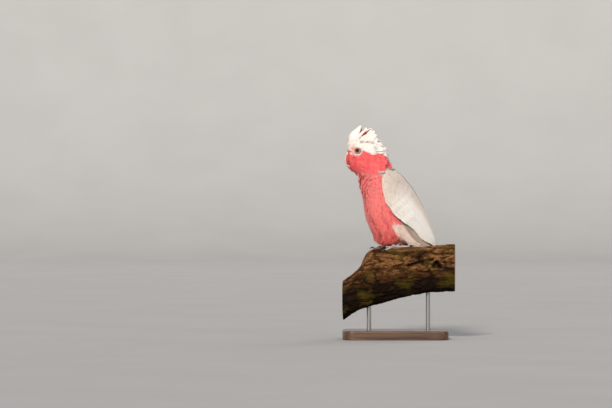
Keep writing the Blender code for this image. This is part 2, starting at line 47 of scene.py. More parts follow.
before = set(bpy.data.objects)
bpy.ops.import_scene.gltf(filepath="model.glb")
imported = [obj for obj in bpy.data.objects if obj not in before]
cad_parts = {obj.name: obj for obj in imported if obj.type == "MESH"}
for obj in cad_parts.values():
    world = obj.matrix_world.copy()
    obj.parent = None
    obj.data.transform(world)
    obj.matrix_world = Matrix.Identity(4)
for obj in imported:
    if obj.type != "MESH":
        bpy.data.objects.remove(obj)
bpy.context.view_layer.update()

MM = 0.001
BODY = "root"
BUILT, PAINT = {}, {}
SIDES = (("left", 1), ("right", -1))
CLAWS = ("inner_front", "outer_front", "inner_back", "outer_back")
FLESH = ("head", "neck", "trunk", "thigh_left", "thigh_right")

# Where the bird stands, and how it turns: the same named values as its solids
PERCH_TOP = 182 * MM
BIRD_SHIFT_Y = 14 * MM
BODY_TURN = math.radians(33)
HEAD_TURN = math.radians(-31)
SIN_TURN, COS_TURN = 0.545, 0.839  # of the body's turn, rounded
NECK_AXIS = 50.0
EYE_AT = np.array((83.5, 14.0, 194.0))
EYE_RADIUS = 6.6
BARE_RADIUS = 6.55  # no feathers lie nearer to an eye's centre than this
BILL_AT = np.array((102.0, 0.0, 180.0))
NECK_FROM, NECK_TO = np.array((41.7, 138.7)), np.array((60.5, 173.0))
TAIL_ROOT = np.array((-44.0, 0.0, 38.0))
TAIL_SLOPE = math.radians(54)
TAIL_LENGTH = 134.0
TO_WORLD = Matrix.Translation((0, BIRD_SHIFT_Y, PERCH_TOP)) @ Matrix.Rotation(
    math.pi + BODY_TURN, 4, "Z"
)
TO_WORLD_ROT = np.array(TO_WORLD.to_3x3())
TO_WORLD_MOVE = np.array(TO_WORLD.translation)

# Wing and primaries: lower edge, middle control point and upper edge at even steps
WING_EDGES = [
    ((46, 32, 150), (41, 35, 154), (35, 28, 154)),
    ((53.5, 36.5, 132), (37, 43, 149), (17, 24, 152)),
    ((52, 38, 110), (28, 51, 138), (-1, 18, 147)),
    ((45, 41, 88), (17, 55, 124), (-18, 13, 134)),
    ((29.5, 44.5, 70), (0, 56, 108), (-36, 8.5, 119)),
    ((6, 43, 51), (-17, 53, 90), (-52.5, 5.5, 99)),
    ((-20, 37.5, 36.5), (-36, 47, 68), (-66.5, 4.5, 78)),
    ((-43, 31, 17), (-55, 38, 44), (-78, 4, 54)),
    ((-63, 25, -1), (-72, 30, 20), (-88.5, 4, 28)),
    ((-79, 20, -15), (-85, 22, -4), (-95, 5, 4)),
]
PRIMARY_EDGES = [
    ((8, 38.5, 46), (0, 41, 58), (-14, 40, 66)),
    ((-12, 35, 31), (-22, 38, 42), (-36, 33, 52)),
    ((-36, 29.5, 10.5), (-46, 32, 22), (-62, 22, 30)),
    ((-59, 25.2, -8), (-68, 26, 0), (-82, 13, 6)),
    ((-79, 22, -22), (-87, 20, -14), (-97, 5, -11)),
    ((-97, 17, -35), (-102, 15, -30), (-107, 5, -29)),
    ((-112, 10.5, -46.5), (-114, 9, -46), (-116, 6, -46.5)),
]
# The crest's fan starts here, and its locks part along these lines: start, end, half width
CREST_HEART = (90, 206)
CREST_GAPS = (((80, 219), (57, 238), 2.3), ((76, 208.5), (44, 214), 1.5),
              ((79, 231), (70, 241), 3))

# Edges of the markings: first the places along them, then where the edge lies there
CAP_EDGE = ((14, 20, 27, 36, 44, 52, 60, 68, 74, 76, 79, 86, 93, 99),
            (175, 177, 181, 190.5, 193, 191, 188, 190.5, 193.5, 193, 186.5, 185, 187, 193))
HOOD_EDGE = ((20, 60, 75), (153, 149, 144))
HOOD_RIM = ((20, 60, 75), (151, 147, 142))
MANTLE_TOP = ((-38, -33, -22, -15, -9, 8), (151, 152.5, 155, 161, 168, 174))
MANTLE_POINT = ((-38, -27, -21, -16, 10), (151, 150, 148, 141, 120))
VENT_EDGE = ((-10, 16, 34, 48, 60), (-12, -5, 14, 30, 36))
BREAST_HOLLOW = ((0, 40, 75, 100), (8, 9, 0, -8))
# Small partings in the plumage of the flanks: sideways round the body and up, start to end
FLANK_PARTINGS = (((-28, 64), (-22, 40)), ((-17, 46), (-7, 25)), ((-5, 40), (10, 16)),
                  ((-33, 40), (-27, 20)))

# Knot hole in the branch, its half width and half height, and a long split: along and up
KNOT, KNOT_SIZE = (82, 149), (12, 11)
SPLIT = ((24, 148), (52, 157), (74, 160))

FLOOR_RADIUS, FLOOR_SWEEP = 9.5, 2.6
VIEW_ASIDE, VIEW_ABOVE_PERCH = -0.178, 0.088
SENSOR_WIDTH = 36
WING_LENGTH = 228.0
COVERT_ROOT, ROW_GAP = 0.30, 0.022  # where the rows of small coverts end, and their least gap
LONG_STEPS = 16  # points along a flight feather's path
ROOT_PATCH = 0.003  # a feather's share of the bake map


# ---------------------------------------------------------------- settings


def distance(name, description, value):
    return bpy.props.FloatProperty(
        name=name, description=description, default=value, unit="LENGTH", subtype="DISTANCE"
    )


def colour(name, description, value):
    return bpy.props.FloatVectorProperty(
        name=name, description=description, default=value, size=3, subtype="COLOR", min=0, max=1
    )


class GALAH_PG_sizes(bpy.types.PropertyGroup):
    density: bpy.props.FloatProperty(
        name="Feather Density", default=1.0, min=0.3, max=1.5,
        description="How closely the body feathers are set",
    )
    coat_depth: distance("Coat Depth", "How far the skin lies inside the plumage", 2.6 * MM)
    camera_distance: distance("Camera Distance", "From the camera to the perch", 7.0)
    field_width: distance("Field Width", "Width of the picture at the perch", 1.224)


class GALAH_PG_colours(bpy.types.PropertyGroup):
    face: colour("Face", "Bright rose of the face and throat", (0.93, 0.128, 0.135))
    breast: colour("Breast", "Salmon pink of the neck and breast", (0.91, 0.21, 0.20))
    belly: colour("Belly", "Deeper rose of the belly", (0.88, 0.15, 0.13))
    cap: colour("Cap and Crest", "Warm white of the crown and crest", (0.95, 0.90, 0.85))
    crest_root: colour("Crest Roots", "Pink flush at the roots of the crest", (0.88, 0.36, 0.30))
    mantle: colour("Mantle", "Pale grey of the back", (0.66, 0.565, 0.50))
    wing: colour("Wing", "Silver grey of the wing coverts", (0.69, 0.585, 0.51))
    # partly painted light: the lower wing is painted near white where it faces the light
    wing_pale_and_lit: colour("Pale Wing", "Nearly white inner flight feathers", (1.0, 0.945, 0.89))
    flight: colour("Flight Feathers", "Grey brown outer flight feathers", (0.30, 0.22, 0.175))
    tail: colour("Tail", "Dark grey of the tail", (0.20, 0.18, 0.17))
    vent: colour("Vent", "Pinkish pale grey behind the legs", (0.98, 0.80, 0.70))
    horn: colour("Bill", "Bone colour of the bill's pale streaks", (0.96, 0.89, 0.79))
    eye_skin: colour("Eye Skin", "Grey mauve skin round the eye", (0.60, 0.31, 0.27))
    leg: colour("Legs", "Grey of the legs and toes", (0.66, 0.54, 0.49))


def sizes():
    return bpy.context.scene.galah_sizes


def tone(name):
    return np.array(getattr(bpy.context.scene.galah_colours, name))


# ---------------------------------------------------------------- places


def to_world(points):
    """Points of the bird's frame, in millimetres, as world points in metres."""
    return (np.asarray(points, float) * MM) @ TO_WORLD_ROT.T + TO_WORLD_MOVE


def to_bird(points):
    return (np.asarray(points, float) - TO_WORLD_MOVE) @ TO_WORLD_ROT / MM


def aimed(vectors):
    """Directions of the bird's frame, in the world."""
    return np.asarray(vectors, float) @ TO_WORLD_ROT.T


def turned(points, share=1.0):
    """Points of the head or neck turned about the neck's upright axis by a share of its turn."""
    points = np.atleast_2d(np.asarray(points, float))
    angle = HEAD_TURN * np.broadcast_to(share, len(points))
    x, y = points[:, 0] - NECK_AXIS, points[:, 1]
    c, s = np.cos(angle), np.sin(angle)
    return np.stack([NECK_AXIS + x * c - y * s, x * s + y * c, points[:, 2]], 1)


def turned_with_head(vectors, share=1.0):
    return turned(vectors + [NECK_AXIS, 0, 0], share) - [NECK_AXIS, 0, 0]


def neck_share(bird):
    """How much of the head's turn a point has: none on the trunk, all of it on the head."""
    axis = NECK_TO - NECK_FROM
    along = ((bird[:, [0, 2]] - NECK_FROM) @ axis) / np.linalg.norm(axis) ** 2
    return np.clip(0.08 + 0.9 * along, 0, 1)


def to_head(bird):
    """Points of the bird's frame with the head's turn undone."""
    return turned(bird, -neck_share(bird))


def head_places(points):
    return to_head(to_bird(points))


def ease(low, high, value):
    """0 at low and 1 at high, turning smoothly between them."""
    t = np.clip((value - low) / (high - low), 0, 1)
    return t * t * (3 - 2 * t)


def lengths(vectors):
    return np.linalg.norm(vectors, axis=1)


def unit(vectors):
    return vectors / np.maximum(np.linalg.norm(vectors, axis=-1, keepdims=True), 1e-9)


def flattened(vectors, normals, share=1.0):
    """Directions laid along a surface."""
    return unit(vectors - normals * (vectors * normals).sum(1, keepdims=True) * share)


def mixed(a, b, share):
    share = np.asarray(share)[..., None]
    return np.asarray(a) * (1 - share) + np.asarray(b) * share


def sideways(x, y):
    """Places across the body as it is seen square to the head."""
    return SIN_TURN * np.abs(y) - COS_TURN * x


def smooth_between(rows, place):
    """Catmull-Rom value at places counted in rows."""
    rows = np.asarray(rows, float)
    last = len(rows) - 1
    place = np.clip(place, 0, last)
    i = np.minimum(place.astype(int), last - 1)
    t = (place - i).reshape(-1, *[1] * (rows.ndim - 1))
    p, q, r, s = (rows[np.clip(i + k, 0, last)] for k in (-1, 0, 1, 2))
    return 0.5 * (2 * q + t * (r - p) + t * t * (2 * p - 5 * q + 4 * r - s)
                  + t ** 3 * (3 * q - p - 3 * r + s))


def wing_point(edges, t, f, side=1):
    """Points on the middle surface of a folded wing, t along it and f up across it."""
    t, f = np.broadcast_arrays(np.asarray(t, float), np.asarray(f, float))
    shape, f = t.shape, f.reshape(-1, 1)
    rows = smooth_between(edges, t.ravel() * (len(edges) - 1))
    points = rows[:, 0] * (1 - f) ** 2 + rows[:, 1] * 2 * f * (1 - f) + rows[:, 2] * f * f
    points[:, 1] *= side
    return points.reshape(*shape, 3)


def near_wing(bird):
    """The nearest places on the folded wings: along, up across, how far off, and which side."""
    if "wings" not in BUILT:
        t, f = (v.ravel() for v in np.meshgrid(np.linspace(0, 1, 70), np.linspace(0, 1, 28)))
        points = np.concatenate([wing_point(WING_EDGES, t, f, side) for _, side in SIDES])
        tree = KDTree(len(points))
        for i, point in enumerate(points):
            tree.insert(point, i)
        tree.balance()
        BUILT["wings"] = (tree, np.tile(t, 2), np.tile(f, 2), np.repeat((1, -1), len(t)))
    tree, t, f, side = BUILT["wings"]
    found = [tree.find(p)[1:] for p in bird]
    index = np.array([i for i, _ in found], int)
    return t[index], f[index], np.array([d for _, d in found]), side[index]


def off_line(places, start, end):
    """How far places on a plane lie from a short line."""
    start, end = np.array(start), np.array(end)
    run = end - start
    share = np.clip(((places - start) @ run) / (run @ run), 0, 1)
    return lengths(places - start - share[:, None] * run)


def parting(bird, width=2.5):
    """How deeply the plumage parts, down the middle of the belly and on the flanks: the surface is
    drawn in there, and the tint is darkened there as painted shade.
    """
    x, y, z = bird.T
    main = (np.exp(-((y - np.interp(z, *BREAST_HOLLOW)) / width) ** 2) * ease(126, 98, z)
            * ease(-2, 6, z) * ease(-5, 8, x))
    places = np.stack([sideways(x, y), z], 1)
    small = np.max([ease(0.8 * width, 0.2 * width, off_line(places, *line))
                    for line in FLANK_PARTINGS], 0)
    return np.maximum(main, 0.55 * small * (x > 0))


def spot(ahead, up, at, size):
    """A soft round spot on the side of the head."""
    return np.exp(-(((ahead - at[0]) / size[0]) ** 2 + ((up - at[1]) / size[1]) ** 2))


def layered(tint, *layers):
    for over, share in layers:
        tint = mixed(tint, over, share)
    return tint


def markings(bird):
    """The plumage's colour at points of the bird's frame."""
    x, y, z = bird.T
    hx, hy, hz = to_head(bird).T
    low = ease(100, 22, z + 0.25 * x)
    hood = ease(0, 9, hz - np.interp(hx, *HOOD_EDGE))
    blotch = (np.sin(0.33 * x + 1.9 * np.sin(0.21 * z + 0.4 * y))
              * np.sin(0.29 * z + 1.4 * np.sin(0.26 * y - 0.1 * x)))
    clump_shade = np.sin(y * 0.85 + 1.3 * np.sin(z * 0.11) + 0.05 * x) * np.sin(z * 0.19 + y * 0.3)
    # rose and salmon in soft blotches, with painted shade: dark in the partings, and in streaks
    # between the clumps of feathers down the belly
    tint = layered(
        np.tile(tone("breast"), (len(bird), 1)),
        (tone("belly"), low),
        (tone("face"), hood),
        ((0.94, 0.30, 0.27), 0.30 * blotch.clip(0, 1)),
        ((0.86, 0.075, 0.085), 0.42 * (-blotch).clip(0, 1) * (0.4 + 0.6 * hood)),
        (0.10 * tone("belly"), 0.95 * parting(bird)),
        (0.35 * tone("belly"), 0.38 * low * ease(0.45, 0.9, clump_shade)),
    )
    # painted light: the low belly, which faces down into shade, is lightened by up to a fifth
    tint = np.clip(tint * (1 + 0.20 * ease(48, 18, z))[:, None], 0, 1)
    # pale cap above the eye line, with an orange spot before the eye
    edge = np.interp(hx, *CAP_EDGE) + 3.2 * np.sin(0.55 * hx + 0.4 * hy) * ease(42, 30, hx)
    cap = ease(-1.2, 1.6, hz - edge) * ease(8, 14, hx)
    lore = spot(hx, hz, (94.5, 196), (5.5, 7.5)) * cap * ease(0.6, 2.6, hz - edge)
    # two small deep red spots of painted shadow beside the bill's base, where the cheek feathers
    # stand off it
    dark = np.maximum(spot(hx, hz, (101, 174), (3.2, 4.5)), spot(hx, hz, (93, 181), (1.9, 1.7)))
    # grey mantle behind the hindneck: its top edge climbs from a point under the hood
    across = sideways(x, y)
    mantle = (ease(4, -4, (x - 14) * 0.80 + (z - 163) * 0.60 + 0.35 * np.abs(y)) * ease(40, 25, x)
              * ease(34, 14, (x + 60) * 0.78 - (z - 60) * 0.62))
    under = ease(1.5, -1.5, z - np.interp(across, *MANTLE_TOP))
    point = under * ease(-1.5, 1.5, z - np.interp(across, *MANTLE_POINT))
    mantle = np.maximum(mantle * under, point)
    # pale vent, flank and thigh behind a slanting line
    vent = ease(2.5, -2.5, x - np.interp(z, *VENT_EDGE)) * ease(60, 52, z) * (1 - mantle)
    return layered(tint, (tone("cap"), cap), ((0.78, 0.29, 0.16), 0.95 * lore),
                   ((0.34, 0.02, 0.025), 0.75 * dark), (tone("mantle"), mantle),
                   (tone("vent"), vent))


# ---------------------------------------------------------------- meshes


def link(name, data, *materials):
    """A new object in the scene: a mesh with its materials, a light or a camera."""
    obj = bpy.data.objects.new(name, data)
    bpy.context.scene.collection.objects.link(obj)
    for made in materials:
        data.materials.append(made)
    return obj


def finished(obj, slot, *replaced):
    """Rides the piece on the model and hides the CAD parts that it replaces."""
    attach(obj, BODY)
    if replaced:
        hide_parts(*replaced)


def mesh_of(bm, name, smooth=False):
    mesh = bpy.data.meshes.new(name)
    bm.to_mesh(mesh)
    bm.free()
    if smooth:
        mesh.shade_smooth()
    return mesh


def remeshed(obj, voxel, smoothing):
    """The object's mesh rebuilt as one even closed surface, its voxel in millimetres."""
    rebuild = obj.modifiers.new("remesh", "REMESH")
    rebuild.mode, rebuild.voxel_size, rebuild.use_smooth_shade = "VOXEL", voxel * MM, True
    relax = obj.modifiers.new("relax", "SMOOTH")
    relax.factor, relax.iterations = 0.5, smoothing
    graph = bpy.context.evaluated_depsgraph_get()
    mesh, old = bpy.data.meshes.new_from_object(obj.evaluated_get(graph)), obj.data
    obj.modifiers.clear()
    obj.data = mesh
    mesh.name = old.name
    bpy.data.meshes.remove(old)
    return obj


def recast(name, nodes, voxel, smoothing, *materials):
    """A new piece: merged copies of CAD nodes, remeshed."""
    bm = bmesh.new()
    for node in nodes:
        bm.from_mesh(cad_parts[node].data)
    bmesh.ops.remove_doubles(bm, verts=bm.verts, dist=1e-5)
    obj = remeshed(link(name, mesh_of(bm, name)), voxel, smoothing)
    for made in materials:
        obj.data.materials.append(made)
    return obj


def read(items, field, width=3, kind=np.float32):
    values = np.empty(len(items) * width, kind)
    items.foreach_get(field, values)
    return values.reshape(-1, width)


def points_and_normals(mesh):
    return (read(mesh.vertices, "co").astype(float),
            read(mesh.vertex_normals, "vector").astype(float))


def push_out(mesh, out):
    """Moves vertices out along their normals by so many millimetres."""
    points, normals = points_and_normals(mesh)
    moved = points + normals * (np.broadcast_to(out, len(points)) * MM)[:, None]
    mesh.vertices.foreach_set("co", moved.astype(np.float32).ravel())
    mesh.update()


def set_tint(mesh, tint):
    values = np.ones((len(mesh.vertices), 4), np.float32)
    values[:, :3] = np.clip(tint, 0, 1)
    mesh.color_attributes.new("tint", "FLOAT_COLOR", "POINT").data.foreach_set(
        "color", values.ravel())


def set_values(mesh, name, values):
    mesh.attributes.new(name, "FLOAT", "POINT").data.foreach_set(
        "value", np.asarray(values, np.float32))


def unwrap(obj):
    """Unwraps a mesh by its own shape."""
    obj.data.uv_layers.new(name="OFBake")
    bpy.context.view_layer.objects.active = obj
    for other in bpy.context.selected_objects:
        other.select_set(False)
    obj.select_set(True)
    bpy.ops.object.mode_set(mode="EDIT")
    bpy.ops.mesh.select_all(action="SELECT")
    bpy.ops.uv.smart_project(angle_limit=math.radians(66), island_margin=0.002)
    bpy.ops.object.mode_set(mode="OBJECT")
    obj.select_set(False)


class Surface:
    """A closed surface that feathers are laid on."""

    def __init__(self, obj):
        faces = obj.data.polygons
        points, self.normals = points_and_normals(obj.data)
        corners = [tuple(p.vertices) for p in faces]
        self.first = np.array([c[0] for c in corners])
        self.tree = BVHTree.FromPolygons([Vector(p) for p in points], corners)
        self.areas = np.array([p.area for p in faces])
        self.centres = np.array([p.center for p in faces])

    def nearest(self, points):
        """The surface's points nearest to these, its smooth normals there, and the faces."""
        found = [self.tree.find_nearest(p) for p in points]
        index = np.array([face for _, _, face, _ in found], int)
        return np.array([place for place, *_ in found]), self.normals[self.first[index]], index

    def scattered(self, keep, spacing, seed):
        """Evenly scattered points where keep is true, no two nearer than spacing."""
        rng = np.random.default_rng(seed)
        faces = np.nonzero(keep)[0]
        area = self.areas[faces].sum()
        chosen = rng.choice(faces, int(area / spacing ** 2 * 4.5), p=self.areas[faces] / area)
        jitter = (rng.random((len(chosen), 3)) - 0.5) * np.sqrt(self.areas[chosen])[:, None]
        places = self.centres[chosen] + jitter
        cells, kept = {}, []
        for i, p in enumerate(places):
            a, b, c = (int(v // spacing) for v in p)
            close = (places[j] for x, y, z in itertools.product((-1, 0, 1), repeat=3)
                     for j in cells.get((a + x, b + y, c + z), ()))
            if all(((p - q) ** 2).sum() >= spacing * spacing for q in close):
                cells.setdefault((a, b, c), []).append(i)
                kept.append(i)
        return self.nearest(places[kept])[:2]


# ---------------------------------------------------------------- feathers


def grid(columns, rows):
    """Places along and across a flat grid from its root to its tip, and its faces."""
    bm = bmesh.new()
    bmesh.ops.create_grid(bm, x_segments=columns, y_segments=rows, size=1)
    along = np.array([(v.co.y + 1) / 2 for v in bm.verts])
    across = np.array([v.co.x for v in bm.verts])
    faces = np.array([[v.index for v in f.verts] for f in bm.faces])
    bm.free()
    return along, across, faces


def gathered(parts):
    """One pattern out of several flat pieces."""
    along, across, faces = zip(*parts)
    starts = np.cumsum([0, *map(len, along)])
    return (np.concatenate(along), np.concatenate(across),
            np.concatenate([f + start for f, start in zip(faces, starts)]))


def lanes(count):
    """Each strand's place across a vane, and 1 for every other strand."""
    return (((k + 0.5) / count * 2 - 1, k % 2) for k in range(count))


def barbed_pattern(columns, rows, split, narrow=0.55, blunt=0.32, ragged=0.10):
    """A vane whose web is whole near the root and parts into pointed barbs at the tip."""
    def outline(a):
        return np.clip(narrow + (1 - narrow) * np.sin(np.pi * np.clip(a, 0, 1) ** 0.8), 0, 1)

    a, b, f = grid(columns, rows)
    parts = [(a * split, b * outline(a * split), f)]
    for lane, odd in lanes(columns):
        a, b, f = grid(1, 2)
        end = 1 - blunt * lane ** 2 - ragged * odd
        along = split * 0.94 + (end - split * 0.94) * a
        half = (1 - a) ** 0.8 * 1.05 + 0.10
        across = lane * outline(along) * (1 - 0.10 * a) + b * half / columns
        parts.append((along, across, f))
    return gathered(parts)


def plume_pattern(strands, rows, spread):
    """A loose vane of separate pointed strands that fan out from one root."""
    a, b, f = grid(1, rows)
    half = 0.85 / strands * (1 - 0.9 * a ** 2.2)
    return gathered([
        (a * (1 - 0.22 * lane ** 2 - 0.08 * odd),
         lane * (0.35 + spread * a) + b * half * (0.5 + spread * a * 0.5), f)
        for lane, odd in lanes(strands)
    ])


def long_pattern(columns, rows, tip=0.145, neck=0.35, fill=3.5):
    """A long stiff feather: narrow at the root and round at the tip."""
    along, across, faces = grid(columns, rows)
    along = along ** 0.85
    end = np.clip(1 - ((along - 1 + tip) / tip).clip(0) ** 2.2, 0, 1) ** 0.5
    outline = np.maximum(np.minimum(1, neck + fill * along) * end, 0.16)
    return along, across * outline, faces


PATTERNS = {
    "tiny": barbed_pattern(2, 1, 0.45, ragged=0.16),
    "small": barbed_pattern(3, 1, 0.50, ragged=0.14),
    "round": barbed_pattern(8, 2, 0.66),
    "covert": barbed_pattern(8, 3, 0.90, narrow=0.70, blunt=0.30, ragged=0.015),
    "loose": plume_pattern(8, 3, 0.75),
    "hair": plume_pattern(7, 3, 0.9),
    "long": long_pattern(6, 14),
    "crest": long_pattern(3, 9, tip=0.45, neck=0.45, fill=2.0),
}


def lie_of_coat(bird, normal):
    """Which way the plumage points, in the bird's frame: back from the bill, then down."""
    x, y, z = bird.T
    from_bill = to_head(bird) - BILL_AT
    reach = lengths(from_bill) + 0.35 * (-from_bill[:, 2]).clip(-20, 60)
    back = unit(turned_with_head(from_bill * [1, 1.3, 1], neck_share(bird)))
    down = np.tile([-0.52, 0.0, -0.85], (len(bird), 1))
    down[:, 1] = 0.10 * np.sign(y) * ease(60, 140, z)
    down = mixed(down, [-0.80, 0, -0.60], ease(28, -8, x) * ease(60, 42, z))
    return flattened(mixed(back, unit(down), ease(34, 80, reach)), normal)


def lie_on(points, normals, swing, down=0.0):
    """World directions ahead along feathers and beside them, swung off the coat's own lie."""
    facing = normals @ TO_WORLD_ROT
    lie = lie_of_coat(to_bird(points), facing)
    if down:
        lie = flattened(mixed(lie, [0.25, 0, -1], down), facing, 0.7)
    side, swing = np.cross(facing, lie), swing[:, None]
    return aimed(unit(lie * np.cos(swing) + side * np.sin(swing))), aimed(unit(side))


def at_each(value, bird):
    return value(bird) if callable(value) else value


class Coat:
    """Feathers laid on a surface and gathered into one joined mesh. Sizes are in millimetres."""

    def __init__(self, surface=None):
        self.surface, self.parts, self.count = surface, [], 0

    def take(self, pattern, points, tint, at):
        """Adds feathers of one pattern: all their points, then a tint and a root for each."""
        a, b, faces = PATTERNS[pattern]
        n, k = points.shape[:2]
        patch = np.stack([b / 2, a - 0.5], 1) * ROOT_PATCH
        roots = BUILT["skin_uv"][BUILT["skin"].nearest(at)[2]]
        self.parts.append((
            points.reshape(-1, 3), np.repeat(tint, k, 0),
            np.tile(np.stack([(b + 1) / 2, a], 1), (n, 1)),
            (roots[:, None] + patch).reshape(-1, 2),
            (faces + (np.arange(n) * k + self.count)[:, None, None]).reshape(-1, 4),
        ))
        self.count += n * k

    def lay(self, pattern, root, bend, tip, normals, tip_normals, width, tint, at, camber=0.2,
            roll=0.0):
        """Adds bent vanes from their roots, middle control points and tips in the world."""
        a, b, _ = PATTERNS[pattern]
        s, b = a[None, :, None], b[None, :, None]
        root, bend, tip = root[:, None], bend[:, None], tip[:, None]
        centre = root * (1 - s) ** 2 + bend * 2 * s * (1 - s) + tip * s * s
        ahead = unit((1 - s) * (bend - root) + s * (tip - bend))
        across = unit(np.cross(normals[:, None] * (1 - s) + tip_normals[:, None] * s, ahead))
        normal = unit(np.cross(ahead, across))
        roll, half = (np.broadcast_to(v, len(root))[:, None, None] for v in (roll, width))
        half = half * MM / 2
        across, normal = (across * np.cos(roll) + normal * np.sin(roll),
                          normal * np.cos(roll) - across * np.sin(roll))
        points = centre + across * b * half + normal * camber * half * (1 / 3 - b ** 2)
        self.take(pattern, points, tint, at)

    def lay_long(self, path, normals, width, tint, tilt, camber, pattern="long"):
        """Adds one long feather along a path of points with their own normals."""
        a, b, _ = PATTERNS[pattern]
        place = a * (len(path) - 1)
        i = np.minimum(place.astype(int), len(path) - 2)
        t, b = (place - i)[:, None], b[:, None]
        centre, normal, ahead = (v[i] * (1 - t) + v[i + 1] * t
                                 for v in (path, normals, unit(np.gradient(path, axis=0))))
        normal = unit(normal)
        across = unit(np.cross(normal, unit(ahead)))
        arch = camber * (1 - b ** 2) - tilt * b
        points = centre + (across * b * width / 2 + normal * arch) * MM
        self.take(pattern, points[None], np.array(tint)[None], path[:1])

    def scatter(self, keep, spacing, length, width, pattern, depth, seed, lift=0.0, jitter=0.18,
                shade=0.07, down=0.0, tinter=markings):
        """Scatters feathers on part of the surface, each following it from root to tip."""
        rng = np.random.default_rng(seed)
        spacing = spacing * MM / math.sqrt(sizes().density)
        points, normals = self.surface.scattered(keep, spacing, seed)
        bird, n = to_bird(points), len(points)
        ahead, _ = lie_on(points, normals, rng.normal(0, jitter, n), down)
        reach = (at_each(length, bird) * MM * rng.uniform(0.82, 1.18, n))[:, None]
        wide = width * rng.uniform(0.88, 1.12, n)
        sunk = (depth * MM * rng.uniform(0.7, 1.0, n))[:, None]
        target, tip_normal, _ = self.surface.nearest(points + ahead * reach)
        raised = at_each(lift, bird) * MM * rng.uniform(0.3, 1.3, n)
        tips = target + tip_normal * raised[:, None]
        root = points - normals * sunk
        bend = (0.5 * (root + tips - flattened(ahead, tip_normal) * reach * 0.12)
                + normals * (sunk * 0.55))
        tint = tinter(bird) * rng.uniform(1 - shade, 1 + shade, (n, 1))
        self.lay(pattern, root, bend, tips, normals, tip_normal, wide, tint, points, 0.25,
                 rng.normal(0, 0.10, n))

    def tufts(self, keep, spacing, length, width, depth, lift, seed, vanes=6, gather=3.4,
              shade=0.06, pattern="round"):
        """Scatters ragged tufts: a few vanes whose roots stand close and whose tips meet."""
        rng = np.random.default_rng(seed)
        surface = self.surface
        points, normals = (np.repeat(v, vanes, 0)
                           for v in surface.scattered(keep, spacing * MM, seed))
        bird, n = to_bird(points), len(points)
        ahead, beside = lie_on(points, normals,
                               np.repeat(rng.normal(0, 0.2, n // vanes), vanes))
        spread = beside * (rng.normal(0, gather, n)[:, None] * MM)
        reach = np.repeat(length * rng.uniform(0.8, 1.15, n // vanes), vanes)[:, None] * MM
        start, start_normal, _ = surface.nearest(points + spread)
        target, tip_normal, _ = surface.nearest(points + ahead * reach + spread * 0.25)
        raised = np.repeat(rng.uniform(0.55, 1.15, n // vanes), vanes) * at_each(lift, bird) * MM
        raised = (raised * rng.uniform(0.8, 1.1, n))[:, None]
        tips = target + tip_normal * raised
        root = start - start_normal * depth * MM
        bend = 0.5 * (root + tips) + start_normal * (0.30 * raised + 0.6 * MM)
        tint = markings(bird) * rng.uniform(1 - shade, 1 + shade, (n, 1))
        self.lay(pattern, root, bend, tips, start_normal, tip_normal,
                 width * rng.uniform(0.8, 1.2, n), tint, points, roll=rng.normal(0, 0.2, n))

    def made(self, name, material, slot, *replaced):
        mesh = bpy.data.meshes.new(name)
        points, tints, vane, root, faces = map(np.concatenate, zip(*self.parts))
        mesh.vertices.add(len(points))
        mesh.loops.add(faces.size)
        mesh.polygons.add(len(faces))
        for items, field, values in (
            (mesh.vertices, "co", points.astype(np.float32)),
            (mesh.loops, "vertex_index", faces.astype(np.int32)),
            (mesh.polygons, "loop_start", np.arange(0, faces.size, 4, dtype=np.int32)),
            (mesh.polygons, "loop_total", np.full(len(faces), 4, np.int32)),
            (mesh.polygons, "use_smooth", np.ones(len(faces), bool)),
        ):
            items.foreach_set(field, values.ravel())
        mesh.update(calc_edges=True)
        for layer, values in (("OFBake", root), ("vane", vane)):
            mesh.uv_layers.new(name=layer).data.foreach_set(
                "uv", values[faces.ravel()].astype(np.float32).ravel())
        set_tint(mesh, tints)
        finished(link(name, mesh, PAINT[material]), slot, *replaced)


# ---------------------------------------------------------------- materials


class Wire:
    """A value in a node tree, which can be added, taken away and multiplied like a number."""

    def __init__(self, tree, socket):
        self.tree, self.socket = tree, socket

    def maths(self, operation, other=0.5):
        return self.tree.node("Math", {0: self, 1: other}, operation=operation)

    def __add__(self, other):
        return self.maths("ADD", other)

    def __sub__(self, other):
        return self.maths("SUBTRACT", other)

    def __mul__(self, other):
        return self.maths("MULTIPLY", other)


